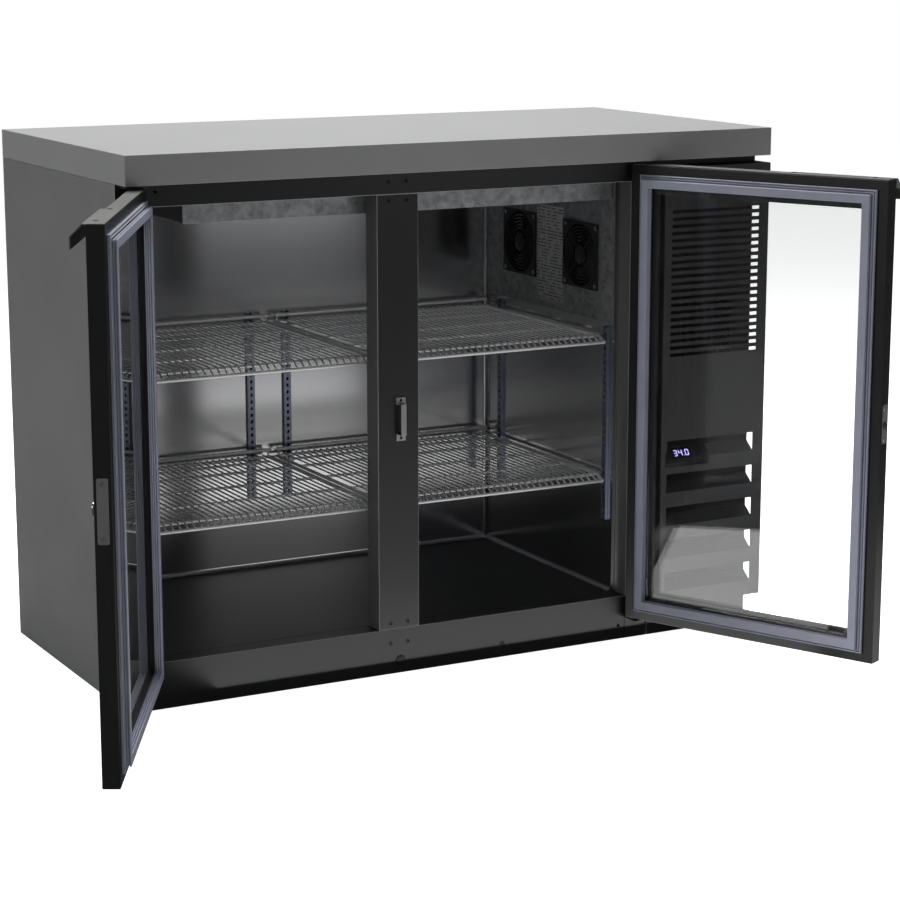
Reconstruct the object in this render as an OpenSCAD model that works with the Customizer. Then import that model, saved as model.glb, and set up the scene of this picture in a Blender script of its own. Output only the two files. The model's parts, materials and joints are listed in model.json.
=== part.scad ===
// Two-door glass under-counter fridge with a machine bay on its right.
// The origin is on the floor at the middle of the worktop's outline, and the doors face -Y.
// Modules draw from the front left corner of the worktop; cab() moves them to the origin.

/* [Overall size] */
// Width over the worktop
width = 1219; // [1100:1:1400]
// Depth of the worktop
depth = 603; // [560:1:700]
// Height of the worktop's top face
height = 917; // [880:1:960]
// Thickness of the worktop slab
worktop_t = 49; // [30:1:60]
// How far the cabinet front sits behind the worktop's front edge
set_back = 48; // [46:1:60]

/* [Machine bay] */
// Width of the machine bay and its front grille
bay_w = 219; // [200:1:260]
// Height of the grille's bottom edge over the floor
grille_z0 = 64; // [50:1:80]
// Number of narrow slots in the grille
fine_slots = 21; // [10:1:24]
// Distance from one narrow slot to the next
fine_pitch = 12.7; // [10:0.1:14]
// Number of wide slots with sloping blades
wide_slots = 5; // [3:1:5]

/* [Doors] */
// Width of one door
door_w = 495; // [470:1:496]
// Thickness of a door without its gasket
door_t = 27; // [24:1:30]
// Height of a door's bottom edge over the floor
door_z0 = 43.5; // [41:0.5:50]
// How far the left door stands open
left_open = 117.8; // [0:0.1:120]
// How far the right door stands open
right_open = 115.2; // [0:0.1:118]
// Radius of a hinge pin
pin_r = 5; // [4:0.5:6]

/* [Shelves] */
// Height of the upper shelves' top face
upper_shelf_z = 553; // [480:1:560]
// Height of the lower shelves' top face
lower_shelf_z = 299; // [240:1:340]
// Distance between the wires of a shelf
wire_pitch = 13; // [12:1:25]
// Thickness of a shelf wire
wire_t = 4; // [3:0.5:5]

/* [Evaporator fans] */
// Size of a square fan frame
fan_size = 120; // [100:1:130]
// Number of blades on a fan
fan_blades = 7; // [3:1:9]

/* [Hidden] */
$fn = 48;
eps = 0.01;
gap = 0.3;
sheet = 1.5;
under = height - worktop_t;
bay_x = width - bay_w;

// Insulated box: the inside of the liner
in_x0 = 45;
in_x1 = bay_x - 50;
in_y1 = depth - 47;
in_z0 = 80;
in_z1 = under - 36;
liner_t = 1;
top_sheet = 2;
back_y = depth - 1;
foam_y0 = set_back + 40;

// Front frame
frame_d = 38;
rail_z = under - 39;
stile_w = 39;
mullion_w = 77;
mullion_d = 42;
mid_x = (bay_x - 3) / 2 - 0.5;
opening_x1 = bay_x - 43;

// Doors, drawn for the left one when it is shut
door_x0 = 2;
door_y0 = 6.5;
door_z1 = under - 8;
door_h = door_z1 - door_z0;
pin_x = door_x0 + 23;
pin_y = door_y0 + door_t / 2;
band_w = 40;
gasket_in = 20;
gasket_w = 22;
gasket_t = 13.5;
pane_t = 4;
pane_out = 2.5;
pane_in = 6;
plate_t = 2;
tab_l = 190;
lock_z = 455;

// Shelves
shelf_y0 = 99;
shelf_y1 = 541;
shelf_gap = 9;
rail_h = 10;
lip_drop = 12;
lip_y = shelf_y0 + 18;
strip_w = 15;
strip_t = 5;
strip_z0 = 211;
strip_z1 = 565;
hole_pitch = 12.7;
rear_strips = [mid_x - 52, mid_x + 22];
side_strips = [109, 496];

// Evaporator
cover_x = in_x1 - 1.5;
cover_z0 = 572;
fan_z = 684;
fan_ys = [201, 422];
fan_r = fan_size / 2 - 3;

// Grille
wide_z0 = 92;
wide_pitch = 60.6;
wide_h = 34;
slot_x0 = bay_x + 12;
slot_x1 = width - 22;
fine_z0 = 520;
fine_h = 6;
slope = 40;
blade_l = 26;
case_l = 86;
case_d = 40;
case_z = 326;

// Condensing unit
deck_z = grille_z0 - 2;
unit_x = bay_x + 108;
cond_y = 70;
cond_t = 44;
cond_z0 = 400;
cond_z1 = 600;
cond_fan_z = (cond_z0 + cond_z1) / 2;

module cab() {
    translate([-width / 2, -depth / 2, 0]) children();
}

// A box between two corners
module block(low, high) {
    translate(low) cube(high - low);
}

// A rectangular ring, standing in the XZ plane, with its band inside the outline
module ring(x0, x1, z0, z1, band, y0, y1) {
    difference() {
        block([x0, y0, z0], [x1, y1, z1]);
        block([x0 + band, y0 - eps, z0 + band], [x1 - band, y1 + eps, z1 - band]);
    }
}

// A rod or hole along Z, from one height to another
module post(x, y, z0, z1, r) {
    translate([x, y, z0]) cylinder(h = z1 - z0, r = r);
}

// A rod or hole along Y
module rod_y(x, z, y0, y1, r) {
    translate([x, y0, z]) rotate([-90, 0, 0]) cylinder(h = y1 - y0, r = r);
}

// A rod or hole along X
module rod_x(y, z, x0, x1, r) {
    translate([x0, y, z]) rotate([0, 90, 0]) cylinder(h = x1 - x0, r = r);
}

// Casing

// A folded pan, open underneath
module worktop() {
    color([0.74, 0.74, 0.75]) cab() difference() {
        block([0, 0, under], [width, depth, height]);
        block([top_sheet, top_sheet, under - eps], [width - top_sheet, depth - top_sheet, height - top_sheet]);
    }
}

module left_side_panel() {
    color([0.2, 0.2, 0.2]) cab()
        block([0, set_back + sheet + gap, 0], [sheet, back_y, under - gap]);
}

module right_side_panel() {
    color([0.2, 0.2, 0.2]) cab()
        block([width - sheet, set_back + sheet + gap, 0], [width, back_y, under - gap]);
}

module back_panel() {
    vent_z0 = 120;
    color([0.45, 0.45, 0.46]) cab() difference() {
        block([sheet + gap, back_y - sheet, sheet + gap], [width - sheet - gap, back_y, under - gap]);
        for (i = [0:11])
            block([bay_x + 30, back_y - sheet - eps, vent_z0 + i * 30],
                  [width - 40, back_y + eps, vent_z0 + i * 30 + 8]);
        rod_y(bay_x + 60, 540, back_y - sheet - eps, back_y + eps, 13);
    }
}

module base_pan() {
    color([0.45, 0.45, 0.46]) cab()
        block([sheet + gap, set_back + sheet + gap, 0], [width - sheet - gap, back_y, sheet]);
}

module foam_insulation() {
    x0 = sheet + gap;
    x1 = bay_x - 2.5;
    y1 = back_y - sheet - gap;
    z0 = in_z0 - liner_t - gap;
    z1 = in_z1 + liner_t + gap;
    pocket_z0 = cover_z0 + 1;
    color([0.93, 0.86, 0.62]) cab() {
        block([x0, foam_y0, sheet + gap], [x1, y1, z0]);
        block([x0, foam_y0, z1], [x1, y1, under - gap]);
        block([x0, foam_y0, z0 + gap], [in_x0 - liner_t - gap, y1, z1 - gap]);
        block([in_x1 + liner_t + gap, foam_y0, z0 + gap], [x1, y1, pocket_z0]);
        block([in_x0 - liner_t, in_y1 + liner_t + gap, z0 + gap], [in_x1 + liner_t, y1, z1 - gap]);
    }
}

module floor_liner() {
    color([0.36, 0.36, 0.37]) cab()
        block([in_x0, foam_y0 - 1, in_z0 - liner_t], [in_x1, in_y1, in_z0]);
}

module wall_liner() {
    color([0.5, 0.5, 0.51]) cab() {
        block([in_x0 - liner_t, foam_y0 - 1, in_z0 - liner_t], [in_x0 - gap, in_y1, in_z1]);
        block([in_x1 + gap, foam_y0 - 1, in_z0 - liner_t], [in_x1 + liner_t, in_y1, cover_z0 + 0.7]);
        block([stile_w - 8, foam_y0 - 1, in_z0 - liner_t], [in_x0 - gap, foam_y0 - gap, in_z1]);
        block([in_x1 + gap, foam_y0 - 1, in_z0 - liner_t], [opening_x1 + 8, foam_y0 - gap, in_z1]);
        block([in_x0, in_y1 + gap, in_z0], [in_x1, in_y1 + liner_t, in_z1]);
    }
}

module ceiling_liner() {
    color([0.5, 0.5, 0.51]) cab()
        block([in_x0, foam_y0 - 1, in_z1 + gap], [bay_x - 3, in_y1, in_z1 + liner_t]);
}

// Front frame

module top_rail() {
    color([0.11, 0.11, 0.11]) cab() difference() {
        union() {
            block([0, set_back, rail_z], [width, set_back + sheet, under - gap]);
            block([stile_w, set_back, rail_z], [opening_x1, set_back + frame_d, rail_z + sheet]);
        }
        for (x = [mid_x - 16.5, mid_x + 16.5])
            rod_y(x, rail_z + 21, set_back - eps, set_back + sheet + eps, 2.6);
        rod_y(69, rail_z + 24, set_back - eps, set_back + sheet + eps, 3);
    }
}

module bottom_rail() {
    color([0.11, 0.11, 0.11]) cab() difference() {
        union() {
            block([0, set_back, 0], [bay_x, set_back + sheet, in_z0]);
            block([stile_w, set_back, in_z0 - sheet], [opening_x1, set_back + frame_d, in_z0]);
        }
        for (x = [mid_x - 16.5, mid_x + 16.5])
            rod_y(x, in_z0 - 25, set_back - eps, set_back + sheet + eps, 2.6);
        rod_y(mid_x + 2, 22, set_back - eps, set_back + sheet + eps, 8.2);
        rod_y(mid_x + 204, 24, set_back - eps, set_back + sheet + eps, 4.2);
        rod_y(943, 25, set_back - eps, set_back + sheet + eps, 3);
    }
}

module side_stiles() {
    z0 = in_z0 + gap;
    z1 = rail_z - gap;
    color([0.11, 0.11, 0.11]) cab() {
        block([0, set_back, z0], [stile_w, set_back + sheet, z1]);
        block([stile_w - sheet, set_back, z0], [stile_w, set_back + frame_d, z1]);
        block([opening_x1, set_back, z0], [bay_x, set_back + sheet, z1]);
        block([opening_x1, set_back, z0], [opening_x1 + sheet, set_back + frame_d, z1]);
    }
}

module center_mullion() {
    x0 = mid_x - mullion_w / 2;
    x1 = mid_x + mullion_w / 2;
    z0 = in_z0 + gap;
    z1 = rail_z - gap;
    color([0.12, 0.12, 0.12]) cab() difference() {
        block([x0, set_back, z0], [x1, set_back + mullion_d, z1]);
        block([x0 + sheet, set_back + sheet, z0 - eps], [x1 - sheet, set_back + mullion_d - sheet, z1 + eps]);
        for (x = [mid_x - 16.5, mid_x + 16.5], z = [z0 + 10, z1 - 10])
            rod_y(x, z, set_back - eps, set_back + sheet + eps, 2.6);
    }
}

// Countersunk screws of the mullion joints and the two plugs of the bottom rail
module frame_screws() {
    color([0.07, 0.07, 0.07]) cab() {
        for (x = [mid_x - 16.5, mid_x + 16.5],
             z = [rail_z + 21, rail_z - gap - 10, in_z0 + gap + 10, in_z0 - 25]) {
            rod_y(x, z, set_back - 0.9, set_back - 0.1, 4);
            rod_y(x, z, set_back - 0.2, set_back + 9, 2.5);
        }
        rod_y(mid_x + 2, 22, set_back - 2, set_back - 0.1, 10);
        rod_y(mid_x + 2, 22, set_back - 0.2, set_back + 4, 8);
        rod_y(mid_x + 204, 24, set_back - 1.5, set_back - 0.1, 5.5);
        rod_y(mid_x + 204, 24, set_back - 0.2, set_back + 4, 4);
    }
}

// Hat-shaped strap that the locks hook on
module keeper_strap() {
    x = mid_x + 4;
    z0 = 410;
    z1 = 485;
    reach = 13;
    foot_h = 12;
    y1 = set_back - 0.1;
    color([0.42, 0.42, 0.42]) cab() difference() {
        union() {
            for (z = [z0, z1 - foot_h])
                block([x - 9, y1 - 2, z], [x + 9, y1, z + foot_h]);
            for (z = [z0 + foot_h - 2, z1 - foot_h])
                block([x - 5, y1 - reach, z], [x + 5, y1, z + 2]);
            block([x - 5, y1 - reach, z0 + foot_h - 2], [x + 5, y1 - reach + 2, z1 - foot_h + 2]);
        }
        for (z = [z0 + 5, z1 - 5])
            rod_y(x, z, y1 - 2 - eps, y1 + eps, 2.5);
    }
}

// Shelf supports

// A slotted strip along Z whose wall side lies on y = 0
module strip() {
    difference() {
        block([-strip_w / 2, -strip_t, strip_z0], [strip_w / 2, 0, strip_z1]);
        for (z = [strip_z0 + 8:hole_pitch:strip_z1 - 12])
            block([-2.5, -strip_t - eps, z], [2.5, eps, z + 6]);
    }
}

module at_strips() {
    for (x = rear_strips)
        translate([x, in_y1, 0]) children();
    for (y = side_strips) {
        translate([in_x0, y, 0]) rotate(90) children();
        translate([in_x1, y, 0]) rotate(-90) children();
    }
    for (side = [-1, 1])
        translate([mid_x + side * 22, set_back + mullion_d + gap, 0]) rotate(180) children();
}

module shelf_standards() {
    color([0.5, 0.54, 0.6]) cab() at_strips() strip();
}

module shelf_clips() {
    y0 = -strip_t - gap;
    color([0.55, 0.57, 0.6]) cab() for (z = [lower_shelf_z, upper_shelf_z]) {
        for (x = rear_strips)
            translate([x, in_y1, z - rail_h - gap]) block([-6, y0 - 14, -8], [6, y0, 0]);
        for (y = side_strips) {
            translate([in_x0, y, z - rail_h - gap]) rotate(90) block([4, y0 - 14, -8], [12, y0, 0]);
            translate([in_x1, y, z - rail_h - gap]) rotate(-90) block([-12, y0 - 14, -8], [-4, y0, 0]);
        }
        for (side = [-1, 1])
            translate([mid_x + side * 22, set_back + mullion_d + gap, z - wire_t - lip_drop - gap])
                rotate(180) block([-6, y0 - 10, -8], [6, y0, 0]);
    }
}

// A wire shelf between two walls: side rails, cross wires, grid wires and a two-wire front lip
module shelf(x0, x1, z) {
    t = wire_t;
    count = floor((x1 - x0 - 2 * t) / wire_pitch);
    first = (x0 + x1 - (count - 1) * wire_pitch) / 2;
    color([0.62, 0.62, 0.62]) cab() {
        for (x = [x0, x1 - t])
            block([x, lip_y, z - rail_h], [x + t, shelf_y1, z]);
        block([x0, lip_y, z - t], [x1, lip_y + t, z]);
        block([x0, shelf_y1 - t, z - rail_h], [x1, shelf_y1, z]);
        block([x0, shelf_y0, z - t - lip_drop], [x1, shelf_y0 + t, z - lip_drop]);
        for (i = [0:7]) {
            x = x0 + i * (x1 - x0 - t) / 7;
            hull() {
                block([x, lip_y, z - t], [x + t, lip_y + t, z]);
                block([x, shelf_y0, z - t - lip_drop], [x + t, shelf_y0 + t, z - lip_drop]);
            }
        }
        for (i = [1:3]) {
            y = shelf_y0 + i * (shelf_y1 - shelf_y0) / 4;
            block([x0, y, z - 2 * t + 1], [x1, y + t, z - t + 1]);
        }
        for (i = [0:count - 1])
            block([first + i * wire_pitch - 1.5, lip_y, z - 3], [first + i * wire_pitch + 1.5, shelf_y1, z]);
    }
}

shelf_x0 = in_x0 + strip_t + 3;
shelf_x1 = in_x1 - strip_t - 3;
shelf_mid = (rear_strips[0] + rear_strips[1]) / 2;

module shelf_upper_left() {
    shelf(shelf_x0, shelf_mid - shelf_gap / 2, upper_shelf_z);
}

module shelf_upper_right() {
    shelf(shelf_mid + shelf_gap / 2, shelf_x1, upper_shelf_z);
}

module shelf_lower_left() {
    shelf(shelf_x0, shelf_mid - shelf_gap / 2, lower_shelf_z);
}

module shelf_lower_right() {
    shelf(shelf_mid + shelf_gap / 2, shelf_x1, lower_shelf_z);
}

// Cold air system

// Shallow galvanised box under the ceiling, open on top and at its right end
module air_duct() {
    x0 = 133;
    x1 = cover_x - 2;
    y0 = set_back + mullion_d + strip_t + 1;
    y1 = 360;
    z0 = 794;
    color([0.66, 0.67, 0.68]) cab() difference() {
        block([x0, y0, z0], [x1, y1, in_z1]);
        block([x0 + sheet, y0 + sheet, z0 + sheet], [x1 + eps, y1 - sheet, in_z1 + eps]);
    }
}

module evaporator_cover() {
    color([0.5, 0.51, 0.52]) cab() difference() {
        block([cover_x, foam_y0 - 1, cover_z0], [cover_x + 1.2, in_y1 - 1, in_z1 - gap]);
        for (y = fan_ys)
            rod_x(y, fan_z, cover_x - eps, cover_x + 1.2 + eps, fan_r);
    }
}

module evaporator_coil() {
    x0 = cover_x + 27.5;
    x1 = bay_x - 4;
    z0 = cover_z0 + 32;
    z1 = in_z1 - 30;
    color([0.78, 0.79, 0.8]) cab() {
        for (i = [0:31])
            block([x0, 110 + i * 13, z0], [x1, 110 + i * 13 + 3, z1]);
        for (i = [0:5])
            block([x0 + 6, 104, z0 + 15 + i * 28], [x0 + 15, 522, z0 + 24 + i * 28]);
    }
}

module drip_tray() {
    x0 = cover_x + 3;
    x1 = bay_x - 3;
    z0 = cover_z0 + 4;
    color([0.3, 0.3, 0.31]) cab() difference() {
        block([x0, foam_y0 + 2, z0], [x1, in_y1 - 4, z0 + 20]);
        block([x0 + 1.5, foam_y0 + 3.5, z0 + 1.5], [x1 - 1.5, in_y1 - 5.5, z0 + 20 + eps]);
    }
}

module info_plate() {
    color([0.8, 0.8, 0.8]) cab() block([cover_x - 0.7, 264, 586], [cover_x - 0.1, 358, 762]);
}

// Square fan housings behind the cover, each with a spider that holds a stub shaft
module fan_frames() {
    x0 = cover_x + 1.5;
    x1 = x0 + 25;
    h = fan_size / 2;
    color([0.09, 0.09, 0.09]) cab() for (y = fan_ys) {
        difference() {
            block([x0, y - h, fan_z - h], [x1, y + h, fan_z + h]);
            rod_x(y, fan_z, x0 - eps, x1 + eps, fan_r);
        }
        for (a = [45:90:315])
            translate([x1 - 3, y, fan_z]) rotate([a, 0, 0]) block([0, 12, -3], [3, fan_r + 1, 3]);
        rod_x(y, fan_z, x1 - 3, x1, 16);
        rod_x(y, fan_z, x0 + 4, x1 - 1, 3);
    }
}

module fan_rotor(y) {
    x0 = cover_x + 3;
    x1 = x0 + 19;
    color([0.14, 0.14, 0.14]) cab() difference() {
        union() {
            rod_x(y, fan_z, x0, x1, 20);
            for (i = [0:fan_blades - 1])
                translate([x0 + 9.5, y, fan_z]) rotate([i * 360 / fan_blades, 0, 0])
                    translate([0, 18, 0]) rotate([0, 38, 0]) block([-1, 0, -13], [1, fan_r - 20, 13]);
        }
        rod_x(y, fan_z, x0 + 2, x1 + eps, 3.05);
    }
}

module front_fan_rotor() {
    fan_rotor(fan_ys[0]);
}

module rear_fan_rotor() {
    fan_rotor(fan_ys[1]);
}

// Finger guards in front of the cover
module fan_guards() {
    x1 = cover_x - 0.2;
    x0 = x1 - 3;
    h = fan_size / 2;
    color([0.08, 0.08, 0.08]) cab() for (y = fan_ys) {
        difference() {
            block([x0, y - h, fan_z - h], [x1, y + h, fan_z + h]);
            rod_x(y, fan_z, x0 - eps, x1 + eps, fan_r - 1);
        }
        for (r = [26:8:50])
            difference() {
                rod_x(y, fan_z, x0, x1, r + 1);
                rod_x(y, fan_z, x0 - eps, x1 + eps, r - 1);
            }
        for (a = [0:45:315])
            translate([x0, y, fan_z]) rotate([a, 0, 0]) block([0.5, 16, -1], [2.5, fan_r, 1]);
        rod_x(y, fan_z, x0, x1, 18);
    }
}

// Machine bay

module machine_divider() {
    color([0.55, 0.55, 0.56]) cab()
        block([bay_x - 2.2, set_back + frame_d, sheet + gap], [bay_x - 1, back_y - sheet - gap, under - gap]);
}

// Deck with a front kick plate
module machine_base() {
    x0 = bay_x + 3;
    x1 = width - sheet - gap;
    color([0.12, 0.12, 0.12]) cab() {
        block([x0, set_back, 0], [width, set_back + sheet, deck_z]);
        block([x0, set_back, deck_z - 2], [x1, back_y - sheet - gap, deck_z]);
    }
}

// Front grille: narrow slots above, wide slots with sloping blades below
module grille_panel() {
    z1 = under - 13;
    color([0.19, 0.19, 0.19]) cab() difference() {
        union() {
            difference() {
                block([bay_x, 0, grille_z0], [width, sheet, z1]);
                for (i = [0:wide_slots - 1])
                    block([slot_x0, -eps, wide_z0 + i * wide_pitch],
                          [slot_x1, sheet + eps, wide_z0 + i * wide_pitch + wide_h]);
            }
            block([bay_x, 0, z1 - sheet], [width, set_back - gap, z1]);
            block([bay_x, 0, grille_z0], [bay_x + sheet, set_back - gap, z1]);
            for (i = [0:wide_slots - 1]) {
                x0 = i == wide_slots - 1 ? bay_x + 20 + case_l : slot_x0 - 1;
                translate([0, sheet, wide_z0 + i * wide_pitch - gap]) rotate([slope, 0, 0])
                    block([x0, -1.2, -sheet], [slot_x1 + 1, blade_l, 0]);
            }
        }
        for (i = [0:fine_slots - 1])
            block([slot_x0 + 3, -eps, fine_z0 + i * fine_pitch],
                  [slot_x1 + 2, sheet + eps, fine_z0 + i * fine_pitch + fine_h]);
        block([slot_x0 - 3, -5, case_z - 6], [slot_x0 + case_l + 3, sheet + eps, case_z + 20]);
    }
}

// The controller lies on a slope; its face is the plane z = 0 of this placement
module on_slope() {
    translate([slot_x0, 3, case_z]) rotate([slope, 0, 0]) children();
}

module controller_case() {
    color([0.1, 0.1, 0.1]) cab() on_slope() difference() {
        union() {
            block([0, 0, -3], [case_l, case_d, 0]);
            block([6, 5, -30], [case_l - 6, case_d - 5, -2]);
        }
        block([22, 10, -1], [64, 34, 1]);
        for (x = [11, case_l - 11])
            translate([x, 10, -12]) cylinder(h = 13, r = 4.3);
    }
}

module display_window() {
    color([0.15, 0.13, 0.4]) cab() on_slope()
        block([22 + gap, 10 + gap, -1 + gap / 3], [64 - gap, 34 - gap, 0.2]);
}

module button(x) {
    color([0.3, 0.3, 0.3]) cab() on_slope()
        translate([x, 10, -8]) cylinder(h = 9.5, r = 4);
}

module left_button() {
    button(11);
}

module right_button() {
    button(case_l - 11);
}

module compressor() {
    y = 430;
    r = 78;
    color([0.06, 0.06, 0.06]) cab() translate([unit_x, y, deck_z]) {
        translate([0, 0, 18]) rotate_extrude() polygon(concat(
            [[0, 0], [r - 18, 0]],
            [for (a = [-90:15:0]) [r - 18 + 18 * cos(a), 18 + 18 * sin(a)]],
            [for (a = [0:15:90]) [r - 40 + 40 * cos(a), 110 + 40 * sin(a)]],
            [[0, 150]]
        ));
        for (sx = [-1, 1], sy = [-1, 1])
            translate([sx * 68, sy * 60, 0]) cylinder(h = 17.5, r = 12);
        for (sy = [-1, 1])
            block([-82, sy * 60 - 12, 17], [82, sy * 60 + 12, 21]);
    }
}

module condenser_coil() {
    x0 = bay_x + 14;
    x1 = width - 24;
    color([0.3, 0.3, 0.31]) cab() {
        for (i = [0:23])
            block([x0 + i * 7.6, cond_y, cond_z0], [x0 + i * 7.6 + 2, cond_y + cond_t, cond_z1]);
        for (i = [0:6], y = [cond_y + 8, cond_y + 28])
            block([x0 - 6, y, cond_z0 + 10 + i * 28], [x1 - 4, y + 8, cond_z0 + 18 + i * 28]);
    }
}

module condenser_shroud() {
    x0 = bay_x + 8;
    x1 = width - 22;
    y0 = cond_y + cond_t + 2;
    color([0.12, 0.12, 0.12]) cab() difference() {
        block([x0, y0, cond_z0], [x1, y0 + 40, cond_z1]);
        block([x0 + 2, y0 - eps, cond_z0 + 2], [x1 - 2, y0 + 38, cond_z1 - 2]);
        rod_y(unit_x, cond_fan_z, y0 + 30, y0 + 41, 84);
    }
}

module condenser_motor() {
    y0 = cond_y + cond_t + 60;
    color([0.2, 0.2, 0.2]) cab() {
        rod_y(unit_x, cond_fan_z, y0, y0 + 45, 32);
        rod_y(unit_x, cond_fan_z, y0 - 22.5, y0 + 2, 3);
        block([unit_x - 6, y0 + 10, deck_z + gap], [unit_x + 6, y0 + 34, cond_fan_z - 28]);
    }
}

module condenser_fan() {
    y1 = cond_y + cond_t + 56;
    y0 = y1 - 22;
    color([0.62, 0.63, 0.65]) cab() difference() {
        union() {
            rod_y(unit_x, cond_fan_z, y0, y1, 18);
            for (i = [0:4])
                translate([unit_x, (y0 + y1) / 2, cond_fan_z]) rotate([0, i * 72, 0])
                    translate([16, 0, 0]) rotate([30, 0, 0]) block([0, -1, -19], [62, 1, 19]);
        }
        rod_y(unit_x, cond_fan_z, y0 + 3, y1 + eps, 3.05);
    }
}

// A tube made of straight runs with a ball at each bend
module tube(points, r) {
    for (i = [0:len(points) - 2]) {
        run = points[i + 1] - points[i];
        length = norm(run);
        translate(points[i]) rotate([0, acos(run[2] / length), atan2(run[1], run[0])]) cylinder(h = length, r = r);
    }
    for (i = [1:len(points) - 2])
        translate(points[i]) sphere(r = r);
}

// Suction and discharge lines with the filter drier on the discharge side
module refrigerant_lines() {
    color([0.72, 0.45, 0.3]) cab() {
        tube([[unit_x + 60, 340, 150], [unit_x + 60, 300, 150], [unit_x + 60, 300, 360],
              [unit_x + 60, 190, 360], [unit_x + 60, 110, 360], [unit_x + 60, 110, cond_z0 - 1]], 4);
        tube([[unit_x - 60, 340, 170], [unit_x - 60, 260, 170], [unit_x - 60, 260, 640],
              [bay_x + 2, 260, 640]], 5);
        translate([unit_x + 60, 300, 200]) cylinder(h = 110, r = 12);
    }
}

module junction_box() {
    color([0.55, 0.55, 0.55]) cab() block([bay_x - 1 + gap, 420, 300], [bay_x + 49, 520, 400]);
}

// Flanged inlet on the back that a supply lead would enter
module power_inlet() {
    color([0.07, 0.07, 0.07]) cab() difference() {
        union() {
            rod_y(bay_x + 60, 540, back_y - 14, back_y + gap, 12.7);
            rod_y(bay_x + 60, 540, back_y + 0.1, back_y + 1, 17);
        }
        rod_y(bay_x + 60, 540, back_y - 10, back_y + 2, 7);
    }
}

// Hinges

// Draws the left pair and, as its mirror image, the right pair
module mirrored_hinge_side() {
    children();
    translate([2 * mid_x, 0, 0]) mirror([1, 0, 0]) children();
}

module hinge_brackets() {
    leg_w = 36;
    leg_t = 0.9;
    y1 = set_back - 0.1;
    color([0.13, 0.13, 0.13]) cab() mirrored_hinge_side() {
        block([door_x0 + 2, pin_y - 11, under - 4.5], [door_x0 + 2 + leg_w, y1, under - 1.5]);
        block([door_x0 + 2, y1 - leg_t, under - 30], [door_x0 + 2 + leg_w, y1, under - 2]);
        post(pin_x, pin_y, door_z1 - 14, under - 3, pin_r);
        block([door_x0 + 2, pin_y - 11, door_z0 - 4.5], [door_x0 + 2 + leg_w, y1, door_z0 - 1.5]);
        block([door_x0 + 2, y1 - leg_t, 4], [door_x0 + 2 + leg_w, y1, door_z0 - 1.5]);
        post(pin_x, pin_y, door_z0 - 3, door_z0 + 14, pin_r);
    }
}

// Doors

module swing_left() {
    translate([pin_x, pin_y, 0]) rotate(-left_open) translate([-pin_x, -pin_y, 0]) children();
}

module swing_right() {
    x = 2 * mid_x - pin_x;
    translate([x, pin_y, 0]) rotate(right_open) translate([-x, -pin_y, 0])
        translate([2 * mid_x, 0, 0]) mirror([1, 0, 0]) children();
}

module door_frame() {
    x1 = door_x0 + door_w;
    y1 = door_y0 + door_t;
    color([0.1, 0.1, 0.1]) difference() {
        ring(door_x0, x1, door_z0, door_z1, band_w, door_y0, y1);
        post(pin_x, pin_y, door_z0 - eps, door_z0 + 15, pin_r + 0.05);
        post(pin_x, pin_y, door_z1 - 15, door_z1 + eps, pin_r + 0.05);
        rod_y(x1 - 20, lock_z, door_y0 - eps, door_y0 + 18, 9.05);
    }
}

module door_glass() {
    inset = band_w + gap;
    color([0.7, 0.8, 0.82, 0.3]) for (y = [door_y0 + pane_out, door_y0 + door_t - pane_in - pane_t])
        block([door_x0 + inset, y, door_z0 + inset],
              [door_x0 + door_w - inset, y + pane_t, door_z1 - inset]);
}

module door_spacer() {
    inset = band_w + gap;
    color([0.35, 0.35, 0.36])
        ring(door_x0 + inset, door_x0 + door_w - inset, door_z0 + inset, door_z1 - inset, 9,
             door_y0 + pane_out + pane_t + 0.2, door_y0 + door_t - pane_in - pane_t - 0.2);
}

module door_gasket() {
    y0 = door_y0 + door_t + 0.1;
    y1 = door_y0 + door_t + gasket_t - 0.2;
    color([0.42, 0.43, 0.48])
        ring(door_x0 + gasket_in, door_x0 + door_w - gasket_in, door_z0 + 16, door_z1 - 16, gasket_w, y0, y1);
}

// Folded cap on the door's top edge; at the free end it widens, slopes out and turns down as a pull
module door_handle() {
    x1 = door_x0 + door_w;
    y1 = door_y0 + door_t;
    y_edge = door_y0 - 4;
    z = door_z1 + 0.1;
    drop = 17;
    t = plate_t;
    bend = t * tan(22.5);
    color([0.45, 0.45, 0.44]) difference() {
        union() {
            block([door_x0 + 4, door_y0 + 3, z], [x1, y1, z + t]);
            translate([x1, 0, 0]) rotate([0, -90, 0]) linear_extrude(height = tab_l) polygon([
                [z, y1], [z, y_edge], [z - drop, y_edge - drop], [z - 2 * drop, y_edge - drop],
                [z - 2 * drop, y_edge - drop - t], [z - drop + bend, y_edge - drop - t],
                [z + t, y_edge - bend], [z + t, y1]
            ]);
        }
        post(pin_x, pin_y, z - eps, z + t + eps, pin_r + 1);
    }
}

module latch_plate(size, centre) {
    x1 = door_x0 + door_w;
    y = door_y0 + door_t / 2 - 0.5;
    color([0.24, 0.24, 0.24])
        block([x1 + 0.05, y - 8.5, centre - size / 2], [x1 + 0.75, y + 8.5, centre + size / 2]);
}

module lock_cylinder() {
    x = door_x0 + door_w - 20;
    color([0.7, 0.7, 0.7]) difference() {
        union() {
            rod_y(x, lock_z, door_y0 - 4.5, door_y0 - 0.2, 10);
            rod_y(x, lock_z, door_y0 - 0.3, door_y0 + 16, 9);
        }
        block([x - 4, door_y0 - 5, lock_z - 0.8], [x + 4, door_y0 + 2, lock_z + 0.8]);
    }
}

module left_door_frame() {
    cab() swing_left() door_frame();
}

module left_door_glass() {
    cab() swing_left() door_glass();
}

module left_door_spacer() {
    cab() swing_left() door_spacer();
}

module left_door_gasket() {
    cab() swing_left() door_gasket();
}

module left_door_handle() {
    cab() swing_left() door_handle();
}

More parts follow.
